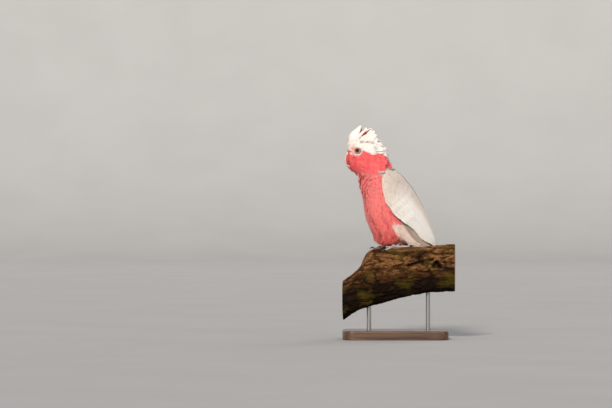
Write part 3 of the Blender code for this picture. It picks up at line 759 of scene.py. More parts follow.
class Tree:
    """The nodes of a new material, made by its name, or of a node group."""

    def __init__(self, name_or_group):
        self.made = self.tree = name_or_group
        if isinstance(name_or_group, str):
            self.made = bpy.data.materials.new(name_or_group)
            self.made.use_nodes = True
            self.tree = self.made.node_tree

    def plug(self, socket, value):
        """Joins a wire to a socket, or sets the socket's own value."""
        if isinstance(value, Wire):
            self.tree.links.new(value.socket, socket)
        else:
            socket.default_value = (*value, 1) if socket.type == "RGBA" else value

    def node(self, kind, values=None, output=0, **settings):
        node = self.tree.nodes.new("ShaderNode" + kind)
        for key, value in settings.items():
            setattr(node, key, value)
        for key, value in (values or {}).items():
            self.plug(node.inputs[key], value)
        return Wire(self, node.outputs[output])

    def place(self, *stretch):
        """Places on the object, drawn out along its axes."""
        where = self.node("TexCoord", output="Object")
        return self.node("Mapping", {"Vector": where, "Scale": stretch}) if stretch else where

    def cloud(self, scale, detail, where=None, **more):
        return self.node("TexNoise", {"Vector": where or self.place(), "Scale": scale,
                                      "Detail": detail, **more})

    def attribute(self, name, output="Fac"):
        return self.node("Attribute", output=output, attribute_name=name)

    def ranged(self, value, low, high, bottom=0.0, top=1.0):
        return self.node("MapRange", {0: value, 1: low, 2: high, 3: bottom, 4: top})

    def scaled(self, tint, value):
        return self.node("VectorMath", {0: tint, "Scale": value}, operation="SCALE")

    def blend(self, share, dark, light):
        return self.node("Mix", {0: share, 6: dark, 7: light}, output=2, data_type="RGBA")

    def ramp(self, value, first, last, *others):
        """Colours at places along a value: its first and last stop, then any between them."""
        node = self.tree.nodes.new("ShaderNodeValToRGB")
        self.plug(node.inputs[0], value)
        stops = node.color_ramp.elements
        for stop, (place, tint) in zip(stops, (first, last)):
            stop.position, stop.color = place, (*tint, 1)
        for place, tint in others:
            stops.new(place).color = (*tint, 1)
        return Wire(self, node.outputs[0])

    def shade(self, tint, roughness, height=None, bump=0.0, deep=0.0, **more):
        """Finishes the material's shader, with small relief where a height is given."""
        more = {"Base Color": tint, "Roughness": roughness,
                **{key.replace("_", " "): value for key, value in more.items()}}
        if height:
            more["Normal"] = self.node("Bump", {"Height": height, "Strength": bump,
                                                "Distance": deep})
        for key, value in more.items():
            self.plug(self.tree.nodes["Principled BSDF"].inputs[key], value)
        return self.made


def feather_group():
    """Barbs, shaft and soft variation of a vane, from its own map."""
    group = bpy.data.node_groups.new("feather_detail", "ShaderNodeTree")
    for label, kind, value in (
        ("Colour", "Color", (0.8, 0.8, 0.8, 1)), ("Barbs", "Float", 60.0),
        ("Tip Light", "Float", 0.10), ("Root Dark", "Float", 0.25), ("Edge Light", "Float", 0.0),
        ("Shaft Dark", "Float", 0.15),
    ):
        group.interface.new_socket(
            label, in_out="INPUT", socket_type="NodeSocket" + kind).default_value = value
    for label, kind in (("Colour", "Color"), ("Height", "Float")):
        group.interface.new_socket(label, in_out="OUTPUT", socket_type="NodeSocket" + kind)
    p = Tree(group)
    given, out = group.nodes.new("NodeGroupInput"), group.nodes.new("NodeGroupOutput")
    tint, barbs, tip, root, edge, shaft = (Wire(p, socket) for socket in given.outputs[:6])
    vane = p.node("UVMap", uv_map="vane")
    u, v = (p.node("SeparateXYZ", {0: vane}, output=k) for k in (0, 1))
    off = (u - 0.5).maths("ABSOLUTE")
    wave = ((v - off * 0.9) * barbs).maths("SINE")
    quill = p.ranged(off, 0.035, 0.012)
    value = ((v - 0.62) * tip + 1.0 - p.ranged(v, 0.55, 0.0) * root
             + p.ranged(off, 0.30, 0.48) * edge - quill * shaft
             + (p.cloud(160.0, 2.0) - 0.5) * 0.16 + (p.cloud(900.0, 1.0) - 0.5) * 0.10
             + wave * 0.025)
    p.plug(out.inputs["Colour"], p.scaled(tint, value))
    p.plug(out.inputs["Height"], wave + quill * 1.5)
    return group


def feather_material(detail, name, barbs, tip, root, edge, shaft, roughness, bump):
    p = Tree(name)
    vane = p.tree.nodes.new("ShaderNodeGroup")
    vane.node_tree = detail
    for socket, value in zip(vane.inputs, (p.attribute("tint", "Color"), barbs, tip, root, edge,
                                           shaft)):
        p.plug(socket, value)
    tint, height = (Wire(p, socket) for socket in vane.outputs[:2])
    return p.shade(tint, roughness, height, bump, 0.0002, Sheen_Weight=0.25, Sheen_Roughness=0.5,
                   Specular_IOR_Level=0.25)


def mottled(name, dark, light, scale, roughness, bump):
    """A material whose colour and height both come from noise on the object."""
    p = Tree(name)
    cloud = p.cloud(scale, 4.0)
    return p.shade(p.blend(p.ranged(cloud, 0.35, 0.65), dark, light), roughness, cloud, bump,
                   0.0005)


def scaly(name, tint, scale, roughness, deep):
    """Bare skin in small raised scales, darker in the creases between them."""
    p = Tree(name)
    cells = p.node("TexVoronoi", {"Vector": p.place(), "Scale": scale}, "Distance",
                   feature="DISTANCE_TO_EDGE")
    raised = p.ranged(cells, 0.0, 0.22)
    light = raised * 0.42 + 0.45 + p.cloud(260.0, 3.0) * 0.30
    return p.shade(p.scaled(tuple(tint), light), roughness, raised, 0.7, deep)


def skin_material():
    p = Tree("down_and_skin")
    cloud = p.cloud(500.0, 3.0)
    tint = p.scaled(p.attribute("tint", "Color"), p.ranged(cloud, 0.0, 1.0, 0.45, 0.85))
    return p.shade(tint, 0.9, cloud, 0.6, 0.0006)


def horn_material():
    p = Tree("bill_horn")
    cloud = p.cloud(220.0, 5.0)
    return p.shade(p.blend(cloud, (0.74, 0.62, 0.50), tone("horn")), 0.42, cloud, 0.25, 0.0004)


def eye_material():
    """Dark wet eye: a brown iris round a black pupil, by the piece's own attribute."""
    p = Tree("dark_eye")
    tint = p.ramp(p.attribute("ring"), (0.26, (0.003, 0.002, 0.002)), (0.72, (0.10, 0.05, 0.045)),
                  (0.33, (0.11, 0.022, 0.012)), (0.62, (0.05, 0.010, 0.006)))
    return p.shade(tint, 0.06, Coat_Weight=0.35, Coat_Roughness=0.02, Specular_IOR_Level=0.35)


def make_materials():
    detail = feather_group()
    # barbs, paler tip, darker root, paler edges, darker shaft, roughness and relief
    for key, name, *look in (
        ("down", "short_feathers", 30, 0.18, 0.35, 0.0, 0.0, 0.78, 0.12),
        ("body", "body_feathers", 55, 0.25, 0.45, 0.0, 0.04, 0.78, 0.12),
        ("crest", "crest_feathers", 70, 0.05, 0.30, 0.0, 0.05, 0.78, 0.12),
        ("covert", "wing_coverts", 70, 0.10, 0.30, 0.10, 0.08, 0.62, 0.12),
        ("flight", "long_feathers", 190, 0.05, 0.10, 0.16, 0.22, 0.55, 0.2),
    ):
        PAINT[key] = feather_material(detail, name, *look)
    PAINT["skin"], PAINT["horn"], PAINT["eye"] = skin_material(), horn_material(), eye_material()
    PAINT["eye_skin"] = scaly("eye_skin", tone("eye_skin"), 1100, 0.55, 0.0004)
    PAINT["leg"] = scaly("leg_scales", tone("leg"), 620, 0.58, 0.0005)
    PAINT["claw"] = mottled("claw_horn", (0.035, 0.028, 0.025), (0.10, 0.085, 0.075), 300, 0.32,
                            0.1)


# ---------------------------------------------------------------- skin


def flesh_wing(side):
    """A thick plain wing under the feathers, sunk into the trunk."""
    bm = bmesh.new()
    bmesh.ops.create_grid(bm, x_segments=18, y_segments=10, size=1)
    t, f, _ = (np.array([v.co for v in bm.verts]).T + 1) / 2
    middle = wing_point(WING_EDGES, 0.06 + 0.68 * t, 0.15 + 0.77 * f, side)
    for v, p in zip(bm.verts, to_world(middle)):
        v.co = p
    bmesh.ops.recalc_face_normals(bm, faces=bm.faces)
    inward = Vector(aimed([0, side, 0]))
    faces = list(bm.faces)
    if sum(f.normal.dot(inward) for f in faces) < 0:
        bmesh.ops.reverse_faces(bm, faces=faces)
    bmesh.ops.solidify(bm, geom=faces, thickness=7 * MM)
    bmesh.ops.recalc_face_normals(bm, faces=bm.faces)
    return mesh_of(bm, "flesh_wing")


def draw_in(mesh, depth):
    """Draws a surface in by a depth, and by more where the plumage parts into tufts."""
    bird = to_bird(points_and_normals(mesh)[0])
    head = to_head(bird)
    hx, _, hz = head.T
    nape = ease(52, 40, hx) * ease(166, 174, hz) * ease(216, 208, hz)
    throat = ease(62, 72, hx) * ease(125, 131, hz) * ease(152, 145, hz)
    hindneck = ease(40, 26, hx) * ease(146, 154, hz) * ease(182, 172, hz)
    push_out(mesh, -(depth(head) + 4.2 * np.clip(nape + 0.6 * throat, 0, 1)
                     + 3.0 * parting(bird, 3.2) + 3.4 * hindneck))


def collar_depth(head):
    """How far the laying surface lies in just under the rim of the hood."""
    under = np.interp(head[:, 0], *HOOD_RIM) - head[:, 2]
    return 2.2 * (ease(-1, 2, under) * ease(16, 4, under))


def skin_depth(head):
    """How far the skin lies under the plumage: shallow on the face, deeper on the body."""
    return 0.9 + (sizes().coat_depth / MM - 0.9) * ease(20, 75, lengths(head - BILL_AT))


class GALAH_OT_skin(bpy.types.Operator):
    """Build the one skin under the plumage, and the surfaces that feathers are laid on"""

    bl_idname = "galah.skin"
    bl_label = "Skin"

    def execute(self, context):
        make_materials()
        for name, nodes, voxel, smoothing in (
            ("outer", FLESH, 1.2, 4), ("crest", ("crest",), 0.8, 2),
            ("face", ("head", "bill_upper", "bill_lower"), 0.9, 4),
            ("whole", (*FLESH, "wing_left", "wing_right"), 1.6, 3),
        ):
            obj = recast(name + "_surface", nodes, voxel, smoothing)
            if name == "outer":
                draw_in(obj.data, collar_depth)
            BUILT[name] = Surface(obj)
            bpy.data.objects.remove(obj)

        skin = recast("skin", FLESH, 1.4, 5)
        draw_in(skin.data, skin_depth)
        bm = bmesh.new()
        bm.from_mesh(skin.data)
        for _, side in SIDES:
            wing = flesh_wing(side)
            bm.from_mesh(wing)
            bpy.data.meshes.remove(wing)
        bm.to_mesh(skin.data)
        bm.free()
        mesh = remeshed(skin, 1.3, 5).data
        unwrap(skin)
        mesh.materials.clear()
        mesh.materials.append(PAINT["skin"])
        bird = to_bird(points_and_normals(mesh)[0])
        x, y, _ = bird.T
        _, f, away, _ = near_wing(bird)
        share = (ease(6.5, 4.5, away) * ease(0.0, 0.08, f)
                 * ease(20, 24, np.abs(y) + 60 * ease(-20, -40, x)))
        set_tint(mesh, mixed(markings(bird), tone("wing"), share))
        BUILT["skin"] = Surface(skin)
        uv = read(mesh.uv_layers["OFBake"].data, "uv", 2)
        first = read(mesh.polygons, "loop_start", 1, np.int32)[:, 0]
        BUILT["skin_uv"] = (uv[first] + uv[first + 2]) / 2
        finished(skin, "rose_pink_plumage", *FLESH)
        return {"FINISHED"}


# ---------------------------------------------------------------- body plumage


def between(value, low, high):
    return (value > low) & (value < high)


def regions(name):
    """Places of one laying surface's faces, y off the middle, and shares of it as masks."""
    surface = BUILT[name]
    bird = to_bird(surface.centres)
    head = to_head(bird)
    x, y, z = bird.T
    hx, _, hz = head.T
    t, f, away, side = near_wing(bird)
    return SimpleNamespace(
        x=x, y=np.abs(y), z=z, hx=hx, hz=hz, t=t, f=f, away=away, side=side,
        across=sideways(x, y), reach=lengths(head - BILL_AT),
        facing=surface.normals[surface.first] @ TO_WORLD_ROT,
        bare=np.minimum(lengths(head - EYE_AT), lengths(head - EYE_AT * [1, -1, 1])) < BARE_RADIUS,
        on_head=(hz > 150 - 0.35 * (hx - 75)) & (hx > 12) & (z > 128),
        hidden=(away < 9) & between(f, 0.14, 0.97) & between(t, 0.10, 0.99),
    )


class GALAH_OT_head_feathers(bpy.types.Operator):
    """Lay the short feathers of the face, cheeks, crown and nape"""

    bl_idname = "galah.head_feathers"
    bl_label = "Head Feathers"

    def execute(self, context):
        surface, r = BUILT["outer"], regions("outer")
        hx, hz, covered = r.hx, r.hz, r.on_head & ~r.bare
        reach = r.reach + np.random.default_rng(10).uniform(-7, 7, len(hx))
        # where, then spacing, length, width, pattern, depth, seed, lift and jitter
        coat = Coat(surface)
        coat.scatter(covered & (reach < 32), 0.95, 4.4, 1.7, "tiny", 0.9, 11, 0.25, 0.22)
        coat.scatter(covered & (reach >= 31) & (reach < 54), 1.2, 6.8, 2.3, "small", 1.2, 12,
                     0.35, 0.2)
        self.bill_sides(coat)
        coat.made("face_feathers", "down", "rose_pink_plumage")

        coat = Coat(surface)
        coat.scatter(r.on_head & (reach >= 52), 1.9, 11.0, 4.2, "round", 1.6, 13, 0.5, shade=0.06)
        rim = hz - np.interp(hx, *HOOD_RIM)
        aside = COS_TURN * r.facing[:, 0] - SIN_TURN * r.facing[:, 1]
        # tufts of the nape, crown, low nape, hood's rim, throat, and the ruff on the neck: where,
        # then spacing, length, width, depth, lift and seed
        for keep, *tuft in (
            (between(hx, 12, 46) & between(hz, 172, 213), 6.2, 16.0, 5.0, 1.5, 4.8, 14),
            (between(hx, 36, 60) & between(hz, 199, 216), 4.6, 21.0, 5.0, 1.5, 8.0, 19),
            (between(hx, 20, 42) & between(hz, 167, 176), 6.0, 10.0, 4.6, 1.5, 1.2, 15),
            (between(rim, 0, 7) & (hx > 28), 5.0, 11.0, 4.6, 1.5, 1.2, 18),
            (between(hz, 133, 152) & (hx > 66), 5.6, 13.0, 4.6, 1.5, 4.0, 16),
            (between(r.z, 104, 149) & (hx > 46) & (aside > 0.72), 3.3, 15.0, 5.0, 1.6,
             self.ruff_lift, 20, 5, 4.2),
        ):
            coat.tufts(keep, *tuft)
        edge = off_line(np.stack([r.across, r.z], 1), (-35, 154), (-20, 155)) < 1.4
        coat.scatter(edge & (r.y > 12) & (r.x > 40), 1.8, 6.0, 3.6, "round", 0.6, 38, 2.2,
                     tinter=lambda bird: 0.85 * tone("mantle"))
        coat.made("nape_and_throat_feathers", "down", "rose_pink_plumage")
        return {"FINISHED"}

    def ruff_lift(self, bird):
        _, y, z = bird.T
        return (np.interp(z, (104, 116, 128, 146), (1.0, 4.0, 8.5, 9.5))
                * (0.25 + 0.75 * ease(8, -8, y)))

    def bill_sides(self, coat):
        """Cheek feathers fluffed forward over the sides of the bill, up to its front ridge."""
        surface = BUILT["face"]
        rng = np.random.default_rng(17)
        x, y, z = head_places(surface.centres).T
        front = np.interp(z, (152, 158, 166, 176, 186, 195), (96, 99.5, 103, 105, 103.5, 100))
        keep = ((x > 94 + rng.uniform(-4, 4, len(x))) & (x < front) & between(z, 150, 192)
                & (np.abs(y) > np.interp(z, (160, 168), (1.5, 4.4))))
        points, normals = surface.scattered(keep, 0.85 * MM, 17)
        n = len(points)
        x, _, z = head_places(points).T
        gap = ease(94, 97, x) * ease(163, 167, z) * ease(178, 173, z)
        ahead = mixed(np.tile([0.62, 0.0, -0.78], (n, 1)), [-0.05, 0.0, -1.0], gap)
        ahead[:, 2] += rng.normal(0, 0.25, n)
        ahead = flattened(aimed(turned_with_head(ahead)), normals)
        over = points + ahead * (rng.uniform(3.6, 5.6, n) * MM * (1 + 0.5 * gap))[:, None]
        target, tip_normal, _ = surface.nearest(over)
        proud = ease(89, 98, x)[:, None]
        rise = rng.uniform(0.9, 1.7, (n, 1)) * (0.12 + 0.88 * proud) * MM
        tips = mixed(target, over, gap) + tip_normal * rise
        root = points - normals * (0.8 - 0.7 * proud) * MM
        bend = 0.5 * (root + tips) + normals * (0.2 + 0.8 * proud) * MM
        tint = markings(to_bird(points)) * rng.uniform(0.92, 1.07, (n, 1))
        coat.lay("tiny", root, bend, tips, normals, tip_normal, 1.9 * rng.uniform(0.8, 1.2, n),
                 tint, points)


class GALAH_OT_body_feathers(bpy.types.Operator):
    """Lay the feathers of the neck, breast, belly, back, vent and thighs"""

    bl_idname = "galah.body_feathers"
    bl_label = "Body Feathers"

    def execute(self, context):
        r = regions("outer")
        x, y, z = r.x, r.y, r.z
        body = (~r.on_head | (r.reach > 80)) & ~r.hidden
        pale = (x < np.interp(z, *VENT_EDGE)) & (z < 60)
        low = body & (z <= 46) & ~pale
        # in front of the slanting edge of the folded primaries
        clear = r.across < 0.893 * (66 - z) - 0.5

        def laid(*rows):
            """A coat by rows: where, spacing, length, width, pattern, depth, seed and the rest."""
            coat = Coat(BUILT["outer"])
            for row in rows:
                coat.scatter(*row)
            return coat

        laid(
            (body & (z > 95), 2.35, 13.0, 5.4, "round", 2.2, 21, 0.5, 0.18, 0.08),
        ).made("breast_feathers", "body", "breast_plumage")
        laid(
            (body & between(z, 42, 98), 2.5, 16.0, 5.8, "round", 2.5, 22, 0.6, 0.18, 0.09),
            (body & between(z, 36, 90), 4.0, 18.0, 5.0, "loose", 2.0, 23, 1.3, 0.28, 0.13),
        ).made("flank_feathers", "body", "breast_plumage")
        laid(
            (low, 2.4, 15.0, 5.6, "loose", 2.4, 24, 0.8, 0.22, 0.12),
            (low, 3.0, 19.0, 5.0, "hair", 1.8, 25, 1.4, 0.28, 0.15),
            (body & (z < 30) & (x > 8) & ~pale, 2.6,
             lambda bird: 13.0 + 0.12 * bird[:, 0].clip(0, 60), 4.4, "hair", 1.0, 35,
             lambda bird: 3.5 + 0.05 * bird[:, 0].clip(0, 60), 0.25, 0.16, 1.0),
        ).made("belly_feathers", "body", "breast_plumage")
        coat = laid(
            (body & (z <= 60) & pale, 2.6, 14.0, 5.6, "round", 2.2, 26, 0.6, 0.2, 0.06),
            (body & (z <= 56) & pale, 3.4, 17.0, 5.0, "loose", 1.8, 27, 1.6, 0.3, 0.08),
        )
        flank = body & clear & between(z, 14, 50) & pale & (y > 8)
        rear = ~r.hidden & clear & (x < -4) & (z < 40) & (y > 3)
        for keep, *tuft in ((flank, 4.2, 24.0, 5.6, 1.2, 4.5, 36),
                            (rear, 3.6, 21.0, 6.5, 1.2, 6.5, 37)):
            coat.tufts(keep, *tuft, vanes=4, gather=4.5, shade=0.04, pattern="loose")
        coat.scatter(body & (z < 22) & pale & between(x, -30, 14), 3.2, 13.0, 5.0, "loose", 1.0,
                     44, 2.6, 0.25, 0.06, 0.9)
        self.over_primaries(coat)
        coat.made("vent_feathers", "body", "vent_plumage")
        self.over_wings()
        return {"FINISHED"}

    def over_primaries(self, coat):
        """Pale flank feathers hanging over the lower front edge of the folded primaries."""
        n = 210
        for _, side in SIDES:
            rng = np.random.default_rng(40)
            t, share = rng.uniform(0.16, 0.44, n), rng.uniform(0, 1, n) ** 0.8
            edge, edge_normal = on_wing(PRIMARY_EDGES, t, 0.09 * t, side, 2.6)
            inner = edge + aimed([0.93, -0.35 * side, -0.30]) * 16 * MM
            tip = mixed(inner, edge, share * (0.5 + 0.5 * ease(0.20, 0.42, t)))
            lie = aimed(unit([-0.80, 0.0, -0.60] + rng.normal(0, 0.09, (n, 3))))
            length = rng.uniform(15, 22, (n, 1)) * MM
            root, normal, _ = BUILT["outer"].nearest(tip - lie * length)
            root = root - normal * MM
            bend = 0.5 * (root + tip) + edge_normal * 1.5 * MM
            tint = tone("vent") * rng.uniform(0.93, 1.03, (n, 1))
            coat.lay("round", root, bend, tip, normal, edge_normal, 6.5 * rng.uniform(0.8, 1.2, n),
                     tint, root)

    def over_wings(self):
        """Back feathers over the wings' shoulders, and breast feathers tucked round their edges."""
        r = regions("whole")
        near, right = r.away < 9, r.side < 0
        coat = Coat(BUILT["whole"])
        coat.scatter(near & (r.t < 0.17) & (r.f > 0.22) & ~r.on_head, 3.0, 14.0, 6.4, "round", 1.8,
                     28, 0.5, shade=0.05, tinter=lambda bird: tone("mantle"))
        coat.made("shoulder_feathers", "body", "wing_plumage")
        coat = Coat(BUILT["whole"])
        edge = near & (r.t < 0.62) & (r.f < np.where(right, 0.17, 0.20))
        edge &= r.facing[:, 1] * r.side < np.where(right, 0.9, -0.05)
        coat.scatter(edge, 2.4, 13.0, 5.4, "round", 1.2, 29,
                     lambda bird: 0.6 + 1.6 * (bird[:, 1] < 0), 0.22, 0.08)
        coat.made("side_breast_feathers", "body", "breast_plumage")


# ---------------------------------------------------------------- crest


def crest_angle(head):
    return np.arctan2(head[:, 2] - CREST_HEART[1], head[:, 0] - CREST_HEART[0])


def crest_flow(head):
    """Which way the crest's feathers run: up its front edge, then back and out to its tips."""
    angle = crest_angle(head)
    c, s = np.cos(angle), np.sin(angle)
    share = ease(math.radians(20), math.radians(108), angle)
    return unit(mixed(np.stack([-s, 0 * s, c], 1), np.stack([c, 0 * s, s], 1), share))


def crest_tint(head):
    angle = crest_angle(head)
    height = ease(201, 219, head[:, 2] + 0.30 * (76 - head[:, 0]))
    rosy = ease(0.2, 0.95, np.sin(38 * angle + 0.12 * head[:, 1])) * ease(1.75, 2.1, angle)
    return layered(tone("crest_root"), (tone("cap"), 0.86), (tone("cap"), height),
                   ((0.93, 0.66, 0.56), 0.42 * rosy))


class GALAH_OT_crest(bpy.types.Operator):
    """Raise the crest: long feathers that fan up and back over a pink core"""

    bl_idname = "galah.crest"
    bl_label = "Crest"

    def execute(self, context):
        core = recast("crest_core", ("crest",), 0.8, 3, PAINT["skin"])
        places = head_places(points_and_normals(core.data)[0])[:, [0, 2]]
        push_out(core.data, -1.3)
        # the core's own pink, darkened to deep red along the gaps between the locks as painted
        # shade
        set_tint(core.data, layered(
            mixed(tone("crest_root"), tone("cap"), 0.35),
            *(((0.50, 0.045, 0.05), ease(2.2, 0.8, off_line(places, start, end) / wide))
              for start, end, wide in CREST_GAPS)))
        unwrap(core)
        finished(core, "crest_plumage")

        surface, steps = BUILT["crest"], 9
        coat = Coat()
        for seed, spacing, length, width in ((31, 1.7, 13.0, 3.3), (32, 3.0, 25.0, 4.2)):
            rng = np.random.default_rng(seed)
            everywhere = np.ones(len(surface.areas), bool)
            points, normals = surface.scattered(everywhere, spacing * MM, seed)
            head = head_places(points)
            flow = crest_flow(head)
            clear = np.ones(len(head), bool)
            for (start, end, wide), k in itertools.product(CREST_GAPS, (0.0, 0.35, 0.7)):
                along = (head + flow * length * k)[:, [0, 2]]
                clear &= off_line(along, start, end) > wide
            here, head, normals = points[clear], head[clear], normals[clear]
            n = len(here)
            reach = length * rng.uniform(0.8, 1.2, n) / (steps - 1)
            swing = rng.normal(0, 0.07, n)
            path, facing = [here - normals * 0.7 * MM], [normals]
            for k in range(1, steps):
                flow = crest_flow(head_places(here))
                flow[:, 1] += swing
                ahead = flattened(aimed(turned_with_head(flow)), facing[-1])
                moved = here + ahead * (reach * MM)[:, None]
                found, normal, _ = surface.nearest(moved)
                # past a lock's tip the feather runs on straight for a little way, then stops
                outside = (lengths(moved - found) > 0.8 * MM)[:, None]
                here = np.where(outside, here + (moved - here) * 0.05, found)
                normal = np.where(outside, facing[-1], normal)
                rise = 0.9 * math.sin(math.pi * 0.5 * k / (steps - 1)) * MM
                path.append(here + normal * rise)
                facing.append(unit(0.5 * facing[-1] + 0.5 * normal))
            path, facing = np.stack(path, 1), np.stack(facing, 1)
            tint = crest_tint(head) * rng.uniform(0.95, 1.05, (n, 1))
            for i in np.nonzero(lengths(path[:, -1] - path[:, 0]) >= 4 * MM)[0]:
                coat.lay_long(path[i], facing[i], width * rng.uniform(0.85, 1.2), tint[i], 0.0,
                              0.35, "crest")
        coat.made("crest_feathers", "crest", "crest_plumage", "crest")
        self.roots()
        return {"FINISHED"}

    def roots(self):
        """Short feathers that stand up off the forehead and crown round the crest's foot."""
        surface, crest = BUILT["outer"], BUILT["crest"]
        x, y, z = head_places(surface.centres).T
        away = lengths(crest.nearest(surface.centres)[0] - surface.centres)
        keep = (z > 197) & (x > 52) & (np.abs(y) < 17) & (away < 6.0 * MM)
        points, normals = surface.scattered(keep, 1.7 * MM, 33)
        rng = np.random.default_rng(33)
        n = len(points)
        head = head_places(points)
        flow, y = crest_flow(head + [0, 0, 4]), head[:, 1]
        flow[:, 1] -= 0.35 * np.sign(y) * ease(6, 14, np.abs(y))
        over = points + aimed(unit(turned_with_head(flow))) * rng.uniform(8, 13, (n, 1)) * MM
        found, facing, _ = crest.nearest(over)
        inside = ((over - found) * facing).sum(1, keepdims=True) < 0.6 * MM
        tips = np.where(inside, found + facing * 0.8 * MM, over)
        root = points - normals * 0.8 * MM
        bend = 0.5 * (root + tips) + normals * 0.8 * MM
        tint = mixed(markings(to_bird(points)), tone("cap"), 0.4) * rng.uniform(0.94, 1.04, (n, 1))
        coat = Coat()
        coat.lay("small", root, bend, tips, unit(normals + facing), facing,
                 3.0 * rng.uniform(0.8, 1.2, n), tint, points)
        coat.made("crest_root_feathers", "crest", "crest_plumage")


# ---------------------------------------------------------------- wings and tail


def on_wing(edges, t, f, side, out):
    """World points this far out from the middle surface of a wing, and its outward normals."""
    along, across = (
        np.subtract(*(wing_point(edges, *place(step), side) for step in (0.01, -0.01)))
        for place in (lambda step: (np.clip(t + step, 0, 1), f),
                      lambda step: (t, np.clip(f + step, 0, 1)))
    )
    normal = unit(np.cross(along, across))
    normal = normal * np.sign((normal * [0.2, side, 0.3]).sum(-1, keepdims=True))
    middle = wing_point(edges, t, f, side)
    return to_world(middle + normal * np.asarray(out)[..., None]), aimed(normal)


def over_wing(t, f, side, out, fall=0.0):
    """The same this far out from a wing's upper surface, moved up across it by a fall."""
    across = np.sin(np.pi * np.clip(f, 0, 1)) ** 0.6
    along = np.minimum(1.0, 0.25 + 3.0 * t) * (1 - 0.55 * t ** 2)
    thickness = 1.3 + 7.2 * across * along
    return on_wing(WING_EDGES, t, f + fall, side, thickness / 2 + out)


